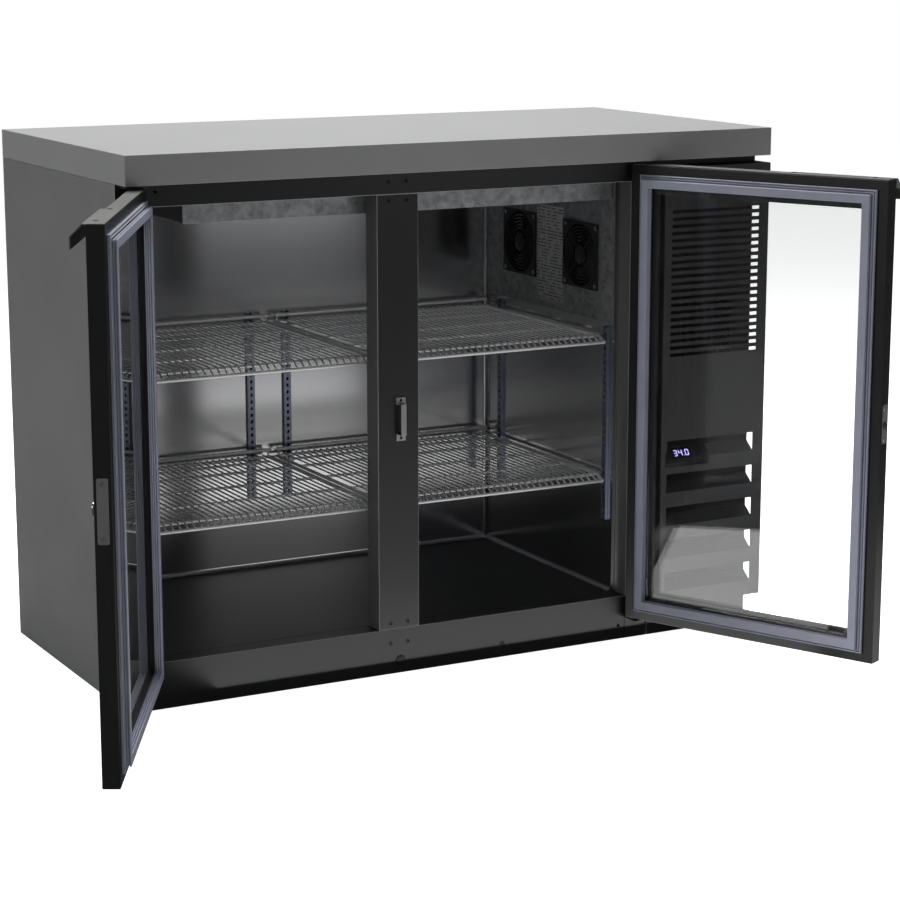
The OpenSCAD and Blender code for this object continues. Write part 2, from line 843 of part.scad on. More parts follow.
module left_latch_plate() {
    cab() swing_left() latch_plate(96, lock_z);
}

module left_lock() {
    cab() swing_left() lock_cylinder();
}

module right_door_frame() {
    cab() swing_right() door_frame();
}

module right_door_glass() {
    cab() swing_right() door_glass();
}

module right_door_spacer() {
    cab() swing_right() door_spacer();
}

module right_door_gasket() {
    cab() swing_right() door_gasket();
}

module right_door_handle() {
    cab() swing_right() door_handle();
}

module right_latch_plate() {
    cab() swing_right() latch_plate(66, lock_z);
}

module right_lock() {
    cab() swing_right() lock_cylinder();
}

worktop();
left_side_panel();
right_side_panel();
back_panel();
base_pan();
foam_insulation();
floor_liner();
wall_liner();
ceiling_liner();
top_rail();
bottom_rail();
side_stiles();
center_mullion();
frame_screws();
keeper_strap();
shelf_standards();
shelf_clips();
air_duct();
evaporator_cover();
evaporator_coil();
drip_tray();
info_plate();
fan_frames();
fan_guards();
rear_fan_rotor();
front_fan_rotor();
hinge_brackets();
shelf_upper_left();
shelf_upper_right();
shelf_lower_left();
shelf_lower_right();
machine_divider();
machine_base();
grille_panel();
controller_case();
display_window();
left_button();
right_button();
compressor();
condenser_coil();
condenser_shroud();
condenser_motor();
condenser_fan();
refrigerant_lines();
junction_box();
power_inlet();
left_door_frame();
left_door_glass();
left_door_spacer();
left_door_gasket();
left_door_handle();
left_latch_plate();
left_lock();
right_door_frame();
right_door_glass();
right_door_spacer();
right_door_gasket();
right_door_handle();
right_latch_plate();
right_lock();
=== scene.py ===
import bpy
import bmesh
import json
import math
from mathutils import Matrix, Vector


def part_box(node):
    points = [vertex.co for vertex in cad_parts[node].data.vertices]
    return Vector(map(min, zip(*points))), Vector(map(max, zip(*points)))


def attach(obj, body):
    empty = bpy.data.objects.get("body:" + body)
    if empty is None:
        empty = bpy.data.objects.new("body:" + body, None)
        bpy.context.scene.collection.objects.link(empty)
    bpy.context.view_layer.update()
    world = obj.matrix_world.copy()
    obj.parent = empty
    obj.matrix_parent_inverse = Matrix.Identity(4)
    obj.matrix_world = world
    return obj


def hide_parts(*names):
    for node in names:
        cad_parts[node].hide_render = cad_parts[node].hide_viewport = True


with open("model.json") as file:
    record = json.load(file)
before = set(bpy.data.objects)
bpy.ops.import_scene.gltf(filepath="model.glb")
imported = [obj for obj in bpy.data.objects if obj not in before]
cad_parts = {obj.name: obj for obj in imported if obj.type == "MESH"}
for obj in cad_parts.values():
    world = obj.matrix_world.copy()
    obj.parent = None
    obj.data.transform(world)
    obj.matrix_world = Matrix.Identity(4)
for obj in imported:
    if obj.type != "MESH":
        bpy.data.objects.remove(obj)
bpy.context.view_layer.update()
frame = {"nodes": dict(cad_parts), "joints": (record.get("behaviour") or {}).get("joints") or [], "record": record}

mm = 0.001
slotOfNode = {part["node"]: part["material_slot"] for part in frame["record"]["subparts"]}
bodies = frame["record"]["behaviour"]["bodies"]
bodyOfNode = {node: body for body, nodes in bodies.items() for node in nodes}
jointNamed = {joint["name"]: joint for joint in frame["joints"]}
topLow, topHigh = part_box("worktop")


def at(x, y, z):
    # millimetres from the cabinet's front left corner on the floor
    return Vector((topLow.x + x * mm, topLow.y + y * mm, z * mm))


def mmBox(node):
    # a CAD node's box in the same millimetres
    low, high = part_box(node)
    corner = Vector((topLow.x, topLow.y, 0))
    return (low - corner) / mm, (high - corner) / mm


def startFinish(name, look):
    finish = bpy.data.materials.new(name)
    finish.use_nodes = True
    shader = finish.node_tree.nodes["Principled BSDF"]
    shader.inputs["Base Color"].default_value = (*look.get("color", (0.5, 0.5, 0.5)), 1)
    shader.inputs["Metallic"].default_value = look.get("metallic", 0)
    shader.inputs["Roughness"].default_value = look.get("roughness", 0.5)
    shader.inputs["Specular IOR Level"].default_value = look.get("specular", 0.5)
    shader.inputs["Coat Weight"].default_value = look.get("coat", 0)
    shader.inputs["Coat Roughness"].default_value = look.get("coatRoughness", 0.1)
    return finish, finish.node_tree, shader


def coords(tree, scale=(1, 1, 1)):
    source = tree.nodes.new("ShaderNodeTexCoord")
    mapping = tree.nodes.new("ShaderNodeMapping")
    mapping.inputs["Scale"].default_value = scale
    tree.links.new(source.outputs["Object"], mapping.inputs["Vector"])
    return mapping.outputs["Vector"]


def noise(tree, vector, scale, detail=3, rough=0.5):
    texture = tree.nodes.new("ShaderNodeTexNoise")
    texture.inputs["Scale"].default_value = scale
    texture.inputs["Detail"].default_value = detail
    texture.inputs["Roughness"].default_value = rough
    tree.links.new(vector, texture.inputs["Vector"])
    return texture.outputs["Fac"]


def cells(tree, vector, scale):
    texture = tree.nodes.new("ShaderNodeTexVoronoi")
    texture.inputs["Scale"].default_value = scale
    tree.links.new(vector, texture.inputs["Vector"])
    return texture.outputs["Color"]


def ranged(tree, value, low, high, start=0.3, end=0.7):
    spread = tree.nodes.new("ShaderNodeMapRange")
    spread.inputs["From Min"].default_value = start
    spread.inputs["From Max"].default_value = end
    spread.inputs["To Min"].default_value = low
    spread.inputs["To Max"].default_value = high
    tree.links.new(value, spread.inputs["Value"])
    return spread.outputs["Result"]


def tinted(tree, value, dark, light, start=0.3, end=0.7):
    ramp = tree.nodes.new("ShaderNodeValToRGB")
    ramp.color_ramp.elements[0].position = start
    ramp.color_ramp.elements[0].color = (*dark, 1)
    ramp.color_ramp.elements[1].position = end
    ramp.color_ramp.elements[1].color = (*light, 1)
    tree.links.new(value, ramp.inputs["Fac"])
    return ramp.outputs["Color"]


def addBump(tree, shader, height, strength, distance):
    bump = tree.nodes.new("ShaderNodeBump")
    bump.inputs["Strength"].default_value = strength
    bump.inputs["Distance"].default_value = distance
    tree.links.new(height, bump.inputs["Height"])
    tree.links.new(bump.outputs["Normal"], shader.inputs["Normal"])


def shaded(color, amount):
    return tuple(min(1, channel * amount) for channel in color)


def paintFinish(name, look):
    # sprayed or moulded surface: cloudy tone, fine grain in gloss and height
    finish, tree, shader = startFinish(name, look)
    place = coords(tree)
    cloud = noise(tree, place, look.get("cloudScale", 6), 2)
    low, high = shaded(look["color"], 1 - look["vary"]), shaded(look["color"], 1 + look["vary"])
    tone = tinted(tree, cloud, low, high)
    # painted highlight on rounded fold edges and painted light on sideways faces, mixed in by a face attribute
    if "paintedLightColor" in look:
        paintedLightAttr = tree.nodes.new("ShaderNodeAttribute")
        paintedLightAttr.attribute_name = "paintedLightShare"
        blend = tree.nodes.new("ShaderNodeMix")
        blend.data_type = "RGBA"
        blend.inputs["B"].default_value = (*look["paintedLightColor"], 1)
        tree.links.new(paintedLightAttr.outputs["Fac"], blend.inputs["Factor"])
        tree.links.new(tone, blend.inputs["A"])
        tone = blend.outputs["Result"]
    tree.links.new(tone, shader.inputs["Base Color"])
    grain = noise(tree, place, look["grainScale"], 2, 0.6)
    spread = look.get("glossVary", 0.06)
    rough = ranged(tree, grain, look["roughness"] - spread, look["roughness"] + spread)
    tree.links.new(rough, shader.inputs["Roughness"])
    addBump(tree, shader, grain, look["bump"], look.get("bumpDepth", 0.2) * mm)
    return finish


def brushedFinish(name, look):
    # drawn or brushed metal: long fine scratches along one direction
    finish, tree, shader = startFinish(name, look)
    scratches = noise(tree, coords(tree, look["stretch"]), look["grainScale"], 4, 0.65)
    cloud = noise(tree, coords(tree), look.get("cloudScale", 5), 2)
    low, high = shaded(look["color"], 1 - look["vary"]), shaded(look["color"], 1 + look["vary"])
    tree.links.new(tinted(tree, cloud, low, high), shader.inputs["Base Color"])
    spread = look.get("glossVary", 0.05)
    rough = ranged(tree, scratches, look["roughness"] - spread, look["roughness"] + spread)
    tree.links.new(rough, shader.inputs["Roughness"])
    addBump(tree, shader, scratches, look["bump"], look.get("bumpDepth", 0.05) * mm)
    return finish


def galvanisedFinish(name, look):
    # zinc spangle: large crystals of slightly different tone and gloss, with a cloudy bloom
    finish, tree, shader = startFinish(name, look)
    place = coords(tree)
    crystal = cells(tree, place, look["spangleScale"])
    bloom = noise(tree, place, look["bloomScale"], 5, 0.65)
    tone = tree.nodes.new("ShaderNodeMix")
    tone.inputs["Factor"].default_value = look["bloomShare"]
    tree.links.new(crystal, tone.inputs["A"])
    tree.links.new(bloom, tone.inputs["B"])
    low, high = shaded(look["color"], 1 - look["vary"]), shaded(look["color"], 1 + look["vary"])
    tree.links.new(tinted(tree, tone.outputs["Result"], low, high, 0.25, 0.75), shader.inputs["Base Color"])
    rough = ranged(tree, tone.outputs["Result"], look["roughness"] + 0.1, look["roughness"] - 0.1)
    tree.links.new(rough, shader.inputs["Roughness"])
    addBump(tree, shader, bloom, look["bump"], 0.1 * mm)
    return finish


def glassFinish(name, look):
    # clear pane; rays from the lamps pass straight through it
    finish, tree, shader = startFinish(name, look)
    shader.inputs["Transmission Weight"].default_value = 1
    shader.inputs["IOR"].default_value = look["ior"]
    clear = tree.nodes.new("ShaderNodeBsdfTransparent")
    clear.inputs["Color"].default_value = (*look["shadow"], 1)
    path = tree.nodes.new("ShaderNodeLightPath")
    mix = tree.nodes.new("ShaderNodeMixShader")
    output = tree.nodes["Material Output"]
    tree.links.new(path.outputs["Is Shadow Ray"], mix.inputs["Fac"])
    tree.links.new(shader.outputs["BSDF"], mix.inputs[1])
    tree.links.new(clear.outputs["BSDF"], mix.inputs[2])
    tree.links.new(mix.outputs["Shader"], output.inputs["Surface"])
    return finish


def printedFinish(name, look):
    # pale film with rows of unreadable grey print
    finish, tree, shader = startFinish(name, look)
    place = coords(tree)
    axes = tree.nodes.new("ShaderNodeSeparateXYZ")
    tree.links.new(place, axes.inputs["Vector"])
    wave = tree.nodes.new("ShaderNodeMath")
    wave.operation = "SINE"
    rows = tree.nodes.new("ShaderNodeMath")
    rows.operation = "MULTIPLY"
    rows.inputs[1].default_value = math.tau / (look["rowPitch"] * mm)
    tree.links.new(axes.outputs["Z"], rows.inputs[0])
    tree.links.new(rows.outputs["Value"], wave.inputs[0])
    inked = ranged(tree, wave.outputs["Value"], 0, 1, 0.2, 0.4)
    words = ranged(tree, noise(tree, place, look["wordScale"], 1), 0, 1, 0.44, 0.5)
    ink = tree.nodes.new("ShaderNodeMath")
    ink.operation = "MULTIPLY"
    tree.links.new(inked, ink.inputs[0])
    tree.links.new(words, ink.inputs[1])
    tone = tinted(tree, ink.outputs["Value"], look["color"], look["inkColor"], 0, 1)
    tree.links.new(tone, shader.inputs["Base Color"])
    sheen = noise(tree, place, look["grainScale"], 2)
    rough = ranged(tree, sheen, look["roughness"] - 0.05, look["roughness"] + 0.05)
    tree.links.new(rough, shader.inputs["Roughness"])
    return finish


def glowFinish(name, look):
    finish, tree, shader = startFinish(name, look)
    flicker = noise(tree, coords(tree), 900, 1)
    tree.links.new(ranged(tree, flicker, 0.3, 0.4), shader.inputs["Roughness"])
    shader.inputs["Emission Color"].default_value = (*look["glow"], 1)
    shader.inputs["Emission Strength"].default_value = look["power"]
    return finish


finishes = {
    "worktop_satin": paintFinish("worktopSatin", {
        "color": (0.3, 0.3, 0.3), "vary": 0.02, "metallic": 0.1, "roughness": 0.45,
        "grainScale": 1500, "bump": 0.05}),
    "dark_paint": paintFinish("texturedCharcoal", {
        "color": (0.19, 0.19, 0.19), "vary": 0.05, "roughness": 0.42, "glossVary": 0.12,
        "grainScale": 900, "bump": 0.35, "bumpDepth": 0.15}),
    "grille_paint": paintFinish("grilleCharcoal", {
        "color": (0.03, 0.03, 0.03), "vary": 0.05, "roughness": 0.4, "glossVary": 0.08,
        "grainScale": 900, "bump": 0.15, "bumpDepth": 0.1}),
    # the edge colour of satin black is a painted highlight on fold edges and painted light on sideways faces
    "black_paint": paintFinish("satinBlack", {
        "color": (0.012, 0.012, 0.012), "paintedLightColor": (0.4, 0.4, 0.4), "vary": 0.08, "roughness": 0.34,
        "grainScale": 1200, "bump": 0.06, "bumpDepth": 0.08}),
    "stainless": brushedFinish("brushedLiner", {
        "color": (0.66, 0.66, 0.665), "vary": 0.03, "metallic": 1, "roughness": 0.17,
        "stretch": (0.1, 1, 1), "grainScale": 900, "glossVary": 0.012, "bump": 0.006}),
    # a darker copy of the brushed liner for the floor liner: painted shade
    "floor_painted_shade": brushedFinish("shadedFloorSheet", {
        "color": (0.08, 0.08, 0.08), "vary": 0.05, "metallic": 0.9, "roughness": 0.36,
        "stretch": (0.1, 1, 1), "grainScale": 900, "glossVary": 0.012, "bump": 0.006}),
    "galvanised": galvanisedFinish("spangledZinc", {
        "color": (0.38, 0.385, 0.39), "vary": 0.42, "metallic": 0.8, "roughness": 0.44,
        "spangleScale": 110, "bloomScale": 55, "bloomShare": 0.8, "bump": 0.06}),
    "zinc_strip": brushedFinish("platedStrip", {
        "color": (0.24, 0.26, 0.33), "vary": 0.08, "metallic": 0.8, "roughness": 0.3,
        "stretch": (1, 1, 0.05), "grainScale": 700, "bump": 0.1}),
    "foam": paintFinish("cutFoam", {
        "color": (0.75, 0.62, 0.32), "vary": 0.12, "roughness": 0.9, "glossVary": 0.03,
        "cloudScale": 20, "grainScale": 500, "bump": 0.6, "bumpDepth": 0.6}),
    "shelf_wire": brushedFinish("platedWire", {
        "color": (0.78, 0.78, 0.77), "vary": 0.06, "metallic": 0.3, "roughness": 0.36,
        "stretch": (1, 0.05, 1), "grainScale": 900, "bump": 0.08}),
    "keeper_metal": brushedFinish("bentSteel", {
        "color": (0.33, 0.33, 0.33), "vary": 0.06, "metallic": 0.7, "roughness": 0.42,
        "stretch": (0.1, 1, 1), "grainScale": 900, "bump": 0.15}),
    "black_plastic": paintFinish("mouldedBlack", {
        "color": (0.035, 0.035, 0.036), "vary": 0.06, "roughness": 0.38,
        "grainScale": 1600, "bump": 0.12}),
    "fan_plastic": paintFinish("fanPlastic", {
        "color": (0.012, 0.012, 0.012), "vary": 0.06, "roughness": 0.4,
        "grainScale": 1500, "bump": 0.1}),
    "fin_aluminium": brushedFinish("finAluminium", {
        "color": (0.6, 0.61, 0.62), "vary": 0.05, "metallic": 1, "roughness": 0.38,
        "stretch": (1, 0.1, 1), "grainScale": 800, "bump": 0.1}),
    "display_window": paintFinish("smokedWindow", {
        "color": (0.012, 0.008, 0.03), "vary": 0.05, "roughness": 0.12, "glossVary": 0.02,
        "grainScale": 400, "bump": 0.01, "coat": 0.5}),
    "button_rubber": paintFinish("keyRubber", {
        "color": (0.06, 0.06, 0.062), "vary": 0.08, "roughness": 0.6,
        "grainScale": 2000, "bump": 0.2}),
    "copper_tube": brushedFinish("bareCopper", {
        "color": (0.75, 0.36, 0.2), "vary": 0.15, "metallic": 1, "roughness": 0.32,
        "stretch": (1, 1, 0.2), "grainScale": 300, "bump": 0.1, "cloudScale": 12}),
    "door_glass": glassFinish("clearPane", {
        "color": (0.965, 0.968, 0.968), "roughness": 0, "ior": 1.5, "shadow": (0.9, 0.9, 0.9)}),
    "glass_spacer": brushedFinish("blackSpacer", {
        "color": (0.02, 0.02, 0.022), "vary": 0.05, "metallic": 0.3, "roughness": 0.4,
        "stretch": (1, 1, 0.1), "grainScale": 900, "bump": 0.1}),
    "door_gasket": paintFinish("gasketRubber", {
        "color": (0.3, 0.315, 0.39), "vary": 0.05, "roughness": 0.52, "cloudScale": 30,
        "grainScale": 1800, "bump": 0.12}),
    "handle_metal": brushedFinish("satinCap", {
        "color": (0.13, 0.13, 0.125), "vary": 0.12, "metallic": 0.5, "roughness": 0.42,
        "stretch": (0.1, 1, 1), "grainScale": 900, "bump": 0.12}),
    "lock_metal": brushedFinish("polishedLock", {
        "color": (0.7, 0.7, 0.7), "vary": 0.04, "metallic": 1, "roughness": 0.18,
        "stretch": (1, 1, 0.2), "grainScale": 900, "bump": 0.04}),
    "compressor_paint": paintFinish("shellBlack", {
        "color": (0.01, 0.01, 0.01), "vary": 0.1, "roughness": 0.25,
        "grainScale": 200, "bump": 0.12, "bumpDepth": 0.3}),
    "dark_screw": brushedFinish("blackScrew", {
        "color": (0.004, 0.004, 0.004), "vary": 0.1, "metallic": 0, "roughness": 0.6,
        "stretch": (1, 1, 1), "grainScale": 900, "bump": 0.1}),
    "box_grey": paintFinish("boxGrey", {
        "color": (0.28, 0.28, 0.285), "vary": 0.06, "roughness": 0.45,
        "grainScale": 800, "bump": 0.15}),
    "blank_label": printedFinish("printedFilm", {
        "color": (0.42, 0.42, 0.425), "inkColor": (0.1, 0.1, 0.1), "rowPitch": 6, "wordScale": 110,
        "roughness": 0.45, "grainScale": 700}),
}
digitGlow = glowFinish("digitGlow", {"color": (0.05, 0.05, 0.3), "glow": (0.5, 0.45, 1.0), "power": 2.6})
print("finishes ready:", len(finishes) + 1)


def edgesOf(verts):
    return list({edge for vert in verts for edge in vert.link_edges})


def bevelEdges(bm, edges, width, segments=2):
    return bmesh.ops.bevel(bm, geom=edges, offset=width, offset_type="OFFSET", segments=segments,
                           profile=0.5, affect="EDGES", clamp_overlap=True, material=-1)


def addBox(bm, low, high, bevel=0, segments=2):
    # a box between two corners in metres
    size = Vector(high) - Vector(low)
    middle = (Vector(high) + Vector(low)) / 2
    place = Matrix.Translation(middle) @ Matrix.Diagonal((*size, 1))
    made = bmesh.ops.create_cube(bm, size=1, matrix=place)["verts"]
    if bevel:
        made = bevelEdges(bm, edgesOf(made), bevel, segments)["verts"]
    return made


def alongAxis(start, end):
    # a frame whose Z runs from start to end, with its origin at start
    run = Vector(end) - Vector(start)
    return Matrix.Translation(start) @ run.to_track_quat("Z", "Y").to_matrix().to_4x4(), run.length


def addRod(bm, start, end, radius, sides):
    place, length = alongAxis(start, end)
    bmesh.ops.create_cone(bm, cap_ends=True, segments=sides, radius1=radius, radius2=radius,
                          depth=length, matrix=place @ Matrix.Translation((0, 0, length / 2)))


def addWire(bm, points, radius, sides=8):
    # a round wire through the points, with a mitre at each bend
    points = [Vector(point) for point in points]
    place = alongAxis(points[0], points[1])[0]
    ring = bmesh.ops.create_circle(bm, cap_ends=True, segments=sides, radius=radius, matrix=place)["verts"]
    edges = [edge for edge in edgesOf(ring) if all(vert in ring for vert in edge.verts)]
    for index in range(1, len(points)):
        run = (points[index] - points[index - 1]).normalized()
        onward = (points[index + 1] - points[index]).normalized() if index + 1 < len(points) else run
        cut = (run + onward).normalized()
        grown = bmesh.ops.extrude_edge_only(bm, edges=edges)["geom"]
        for vert in [item for item in grown if isinstance(item, bmesh.types.BMVert)]:
            vert.co += run * ((points[index] - vert.co).dot(cut) / run.dot(cut))
        edges = [item for item in grown if isinstance(item, bmesh.types.BMEdge)]
    bmesh.ops.contextual_create(bm, geom=edges)


def cornerLoop(bm, outline, corner, inward):
    # an outline of (inset, depth) points set up on the mitre line of a rectangle's corner
    verts = [bm.verts.new((corner[0] + inward[0] * u, y, corner[1] + inward[1] * u)) for u, y in outline]
    return [bm.edges.new(pair) for pair in zip(verts, verts[1:] + verts[:1])]


def rectangleCorners(x0, x1, z0, z1):
    return [((x0, z0), (1, 1)), ((x1, z0), (-1, 1)), ((x1, z1), (-1, -1)), ((x0, z1), (1, -1))]


def addBand(bm, outline, x0, x1, z0, z1):
    # a closed rectangular band whose section is the outline
    loops = [cornerLoop(bm, outline, *corner) for corner in rectangleCorners(x0, x1, z0, z1)]
    for index, loop in enumerate(loops):
        bmesh.ops.bridge_loops(bm, edges=loop + loops[(index + 1) % 4])


def addMitredBars(bm, outline, x0, x1, z0, z1, seam):
    # the same band as four bars with an open seam at each mitre
    corners = rectangleCorners(x0, x1, z0, z1)
    for index in range(4):
        start, end = corners[index], corners[(index + 1) % 4]
        along = Vector((end[0][0] - start[0][0], end[0][1] - start[0][1])).normalized() * seam
        first = cornerLoop(bm, outline, (start[0][0] + along.x, start[0][1] + along.y), start[1])
        last = cornerLoop(bm, outline, (end[0][0] - along.x, end[0][1] - along.y), end[1])
        bmesh.ops.bridge_loops(bm, edges=first + last)
        bmesh.ops.contextual_create(bm, geom=first)
        bmesh.ops.contextual_create(bm, geom=last)


def spinOutline(bm, outline, place, steps=32):
    # turns an outline of (radius, height) points once round the Z axis of the given frame
    verts = [bm.verts.new((radius, 0, height)) for radius, height in outline]
    edges = [bm.edges.new(pair) for pair in zip(verts, verts[1:])]
    bmesh.ops.spin(bm, geom=verts + edges, cent=(0, 0, 0), axis=(0, 0, 1), angle=math.tau,
                   steps=steps, use_merge=True)
    turned = set(verts)
    front = list(verts)
    while front:
        vert = front.pop()
        for edge in vert.link_edges:
            other = edge.other_vert(vert)
            if other not in turned:
                turned.add(other)
                front.append(other)
    bmesh.ops.transform(bm, matrix=place, verts=list(turned))


def inMetres(outline):
    return [(radius * mm, height * mm) for radius, height in outline]


def cleanUp(bm):
    bmesh.ops.remove_doubles(bm, verts=bm.verts, dist=0.005 * mm)
    bmesh.ops.recalc_face_normals(bm, faces=bm.faces)


def finishPiece(name, bm, slot, body, hides=(), finish=None, clean=True, angle=32):
    if clean:
        cleanUp(bm)
    mesh = bpy.data.meshes.new(name)
    bm.to_mesh(mesh)
    bm.free()
    mesh.polygons.foreach_set("use_smooth", [True] * len(mesh.polygons))
    mesh.set_sharp_from_angle(angle=math.radians(angle))
    piece = bpy.data.objects.new(name, mesh)
    bpy.context.scene.collection.objects.link(piece)
    mesh.materials.append(finish or finishes[slot])
    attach(piece, body)
    if hides:
        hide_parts(*hides)
    return piece


def softEdged(node, width, shortest=4):
    # the CAD shape with its long sharp edges rounded as folded sheet is
    bm = bmesh.new()
    bm.from_mesh(frame["nodes"][node].data)
    bmesh.ops.remove_doubles(bm, verts=bm.verts, dist=0.01 * mm)
    bmesh.ops.dissolve_limit(bm, angle_limit=math.radians(0.5), verts=bm.verts, edges=bm.edges)
    sharp = [edge for edge in bm.edges if edge.is_manifold and edge.calc_length() > shortest * mm
             and abs(edge.calc_face_angle()) > math.radians(30)]
    bevelEdges(bm, sharp, width * mm)
    name = node + "_folded"
    return finishPiece(name, bm, slotOfNode[node], bodyOfNode[node], (node,), clean=False, angle=10)


def paintLightOnEdges(piece, returnPaintedLight):
    # paints a highlight on the rounded fold edges and lighter painted light on the faces that look sideways
    mesh = piece.data
    tone = mesh.attributes.new("paintedLightShare", "FLOAT", "FACE")
    for face in mesh.polygons:
        if max(abs(part) for part in face.normal) < 0.99:
            tone.data[face.index].value = 1
        elif abs(face.normal.x) > 0.99:
            tone.data[face.index].value = returnPaintedLight


casing = {
    "topEdge": 1.0, "panelEdge": 0.5, "railEdge": 0.7, "bracketEdge": 0.35, "strapEdge": 0.5, "ductEdge": 0.4,
    # returnPaintedLight is the share of painted light on the faces that look sideways
    "returnPaintedLight": 0.24, "gap": 0.3,
}


def buildCasing():
    bm = bmesh.new()
    addBox(bm, topLow, topHigh, casing["topEdge"] * mm, 3)
    finishPiece("worktop_slab", bm, "worktop_satin", "cabinet", ("worktop",), angle=10)
    for node in ("left_side_panel", "right_side_panel"):
        softEdged(node, casing["panelEdge"])
    for node in ("top_rail", "bottom_rail", "side_stiles", "center_mullion", "machine_base"):
        # the rails' fold edges get a painted highlight and their sideways faces painted light
        paintLightOnEdges(softEdged(node, casing["railEdge"]), casing["returnPaintedLight"])
    softEdged("hinge_brackets", casing["bracketEdge"])
    softEdged("keeper_strap", casing["strapEdge"], shortest=1.5)
    softEdged("air_duct", casing["ductEdge"])
    low, high = mmBox("air_duct")
    bm = bmesh.new()
    addBox(bm, at(low.x - 0.5, low.y + 2, low.z + 2), at(low.x - 0.05, high.y - 2, high.z - 1), 0.2 * mm, 1)
    finishPiece("duct_end_patch", bm, "black_plastic", "cabinet")


buildCasing()
print("casing done")


def addCountersunk(bm, place, radius, socket=0.45, depth=1.2):
    # flat screw head with a round socket; place has its Z pointing out of the surface
    hole = radius * socket
    outline = [(0, -depth), (hole * 0.8, -depth), (hole, -depth), (hole, 0), (radius * 0.92, 0.02 * radius),
               (radius, -0.12 * radius), (radius * 0.6, -depth * 1.4)]
    spinOutline(bm, inMetres(outline), place, 24)


def facing(point, direction):
    # a frame at a point whose Z looks along a direction
    return Matrix.Translation(point) @ Vector(direction).to_track_quat("Z", "Y").to_matrix().to_4x4()


def middleOf(node):
    low, high = mmBox(node)
    return (low + high) / 2


# screws in pairs above and below each joint of the mullion, and two plugs as (from the middle, height, size)
fasteners = {
    "spread": 16.5, "radius": 4, "railUp": 21, "jointGap": 10.3, "railDown": 25, "seam": 0.3,
    "plugs": ((2, 22, 1), (204, 24, 0.52)),
}


def buildFrameScrews():
    middle = middleOf("center_mullion").x
    face = mmBox("top_rail")[0].y
    upper = mmBox("side_stiles")[1].z + fasteners["seam"]
    lower = mmBox("bottom_rail")[1].z
    near = fasteners["jointGap"]
    bm = bmesh.new()
    for x in (middle - fasteners["spread"], middle + fasteners["spread"]):
        for z in (upper + fasteners["railUp"], upper - near, lower + near, lower - fasteners["railDown"]):
            addCountersunk(bm, facing(at(x, face - 0.4, z), (0, -1, 0)), fasteners["radius"])
    dome = [(0, 2.0), (5, 1.9), (8, 1.5), (9.6, 0.8), (10, 0), (8, -1), (8, -3.5), (0, -3.5)]
    for x, z, size in fasteners["plugs"]:
        plug = [(radius * size * mm, height * size * mm) for radius, height in dome]
        spinOutline(bm, plug, facing(at(middle + x, face, z), (0, -1, 0)), 32)
    finishPiece("frame_fasteners", bm, "dark_screw", "cabinet", ("frame_screws",))


buildFrameScrews()


shelfLook = {
    "wire": 3.2, "rod": 6.2, "pitch": 12.7, "lipOut": 18, "lipDrop": 12, "crossCount": 3, "sides": 8,
    "rodSides": 12, "stopLift": 8, "stopRod": 3.3, "backDrop": 9, "postInset": 20, "thin": 0.8,
    "thinPost": 0.7,
}


def buildShelf(node):
    low, high = mmBox(node)
    look = shelfLook
    wire, rod = look["wire"] / 2, look["rod"] / 2
    sides, rodSides = look["sides"], look["rodSides"]
    top = high.z
    left, right = low.x + rod, high.x - rod
    back, front = high.y - rod, low.y + rod + look["lipOut"]
    lipY, lipZ = low.y + rod, top - rod - look["lipDrop"]
    railZ = top - wire * 2 - rod + 1
    bm = bmesh.new()

    def acrossRod(y, z, radius, around):
        addWire(bm, [at(left, y, z), at(right, y, z)], radius * mm, around)

    # side rods turn down to the lip at their front ends
    for x in (left, right):
        addWire(bm, [at(x, back, railZ), at(x, front, railZ), at(x, lipY, lipZ)], rod * mm, rodSides)
    acrossRod(back, railZ, rod, rodSides)
    acrossRod(back, railZ - look["backDrop"], rod * look["thin"], rodSides)
    for x in (left + look["postInset"], (left + right) / 2, right - look["postInset"]):
        post = [at(x, back, railZ), at(x, back, railZ - look["backDrop"])]
        addWire(bm, post, rod * look["thinPost"] * mm, sides)
    acrossRod(front, railZ, rod, rodSides)
    acrossRod(lipY, lipZ, rod, rodSides)
    # raised stop along the back, on two short posts
    stopZ, stopY = top + look["stopLift"], back + rod - look["stopRod"]
    acrossRod(stopY, stopZ, look["stopRod"], rodSides)
    for x in (left + rod, right - rod):
        addWire(bm, [at(x, stopY, railZ), at(x, stopY, stopZ)], wire * mm, sides)
    for index in range(1, look["crossCount"] + 1):
        y = front + (back - front) * index / (look["crossCount"] + 1)
        acrossRod(y, railZ, rod * look["thin"], sides)
    count = math.floor((right - left - 2 * rod) / look["pitch"])
    first = (left + right - (count - 1) * look["pitch"]) / 2
    gridZ = top - wire
    for index in range(count):
        x = first + index * look["pitch"]
        foot = at(x, lipY, lipZ + rod + wire * 0.4)
        addWire(bm, [at(x, back + rod * 0.6, gridZ), at(x, front - 1, gridZ), foot], wire * mm, sides)
    finishPiece(node + "_wires", bm, "shelf_wire", bodyOfNode[node], (node,), clean=False, angle=50)


for shelfNode in ("shelf_upper_left", "shelf_upper_right", "shelf_lower_left", "shelf_lower_right"):
    buildShelf(shelfNode)
print("shelves done")


# millimetres along the wall: from the middle on the back and the mullion, from the front on the sides
standardLook = {
    "width": 15, "depth": 5, "sheet": 1.2, "pitch": 12.7, "slotWide": 5, "slotTall": 6,
    "onBack": (-52, 22), "onSides": (109, 496), "onMullion": (-22, 22), "clipEdge": 0.6,
}


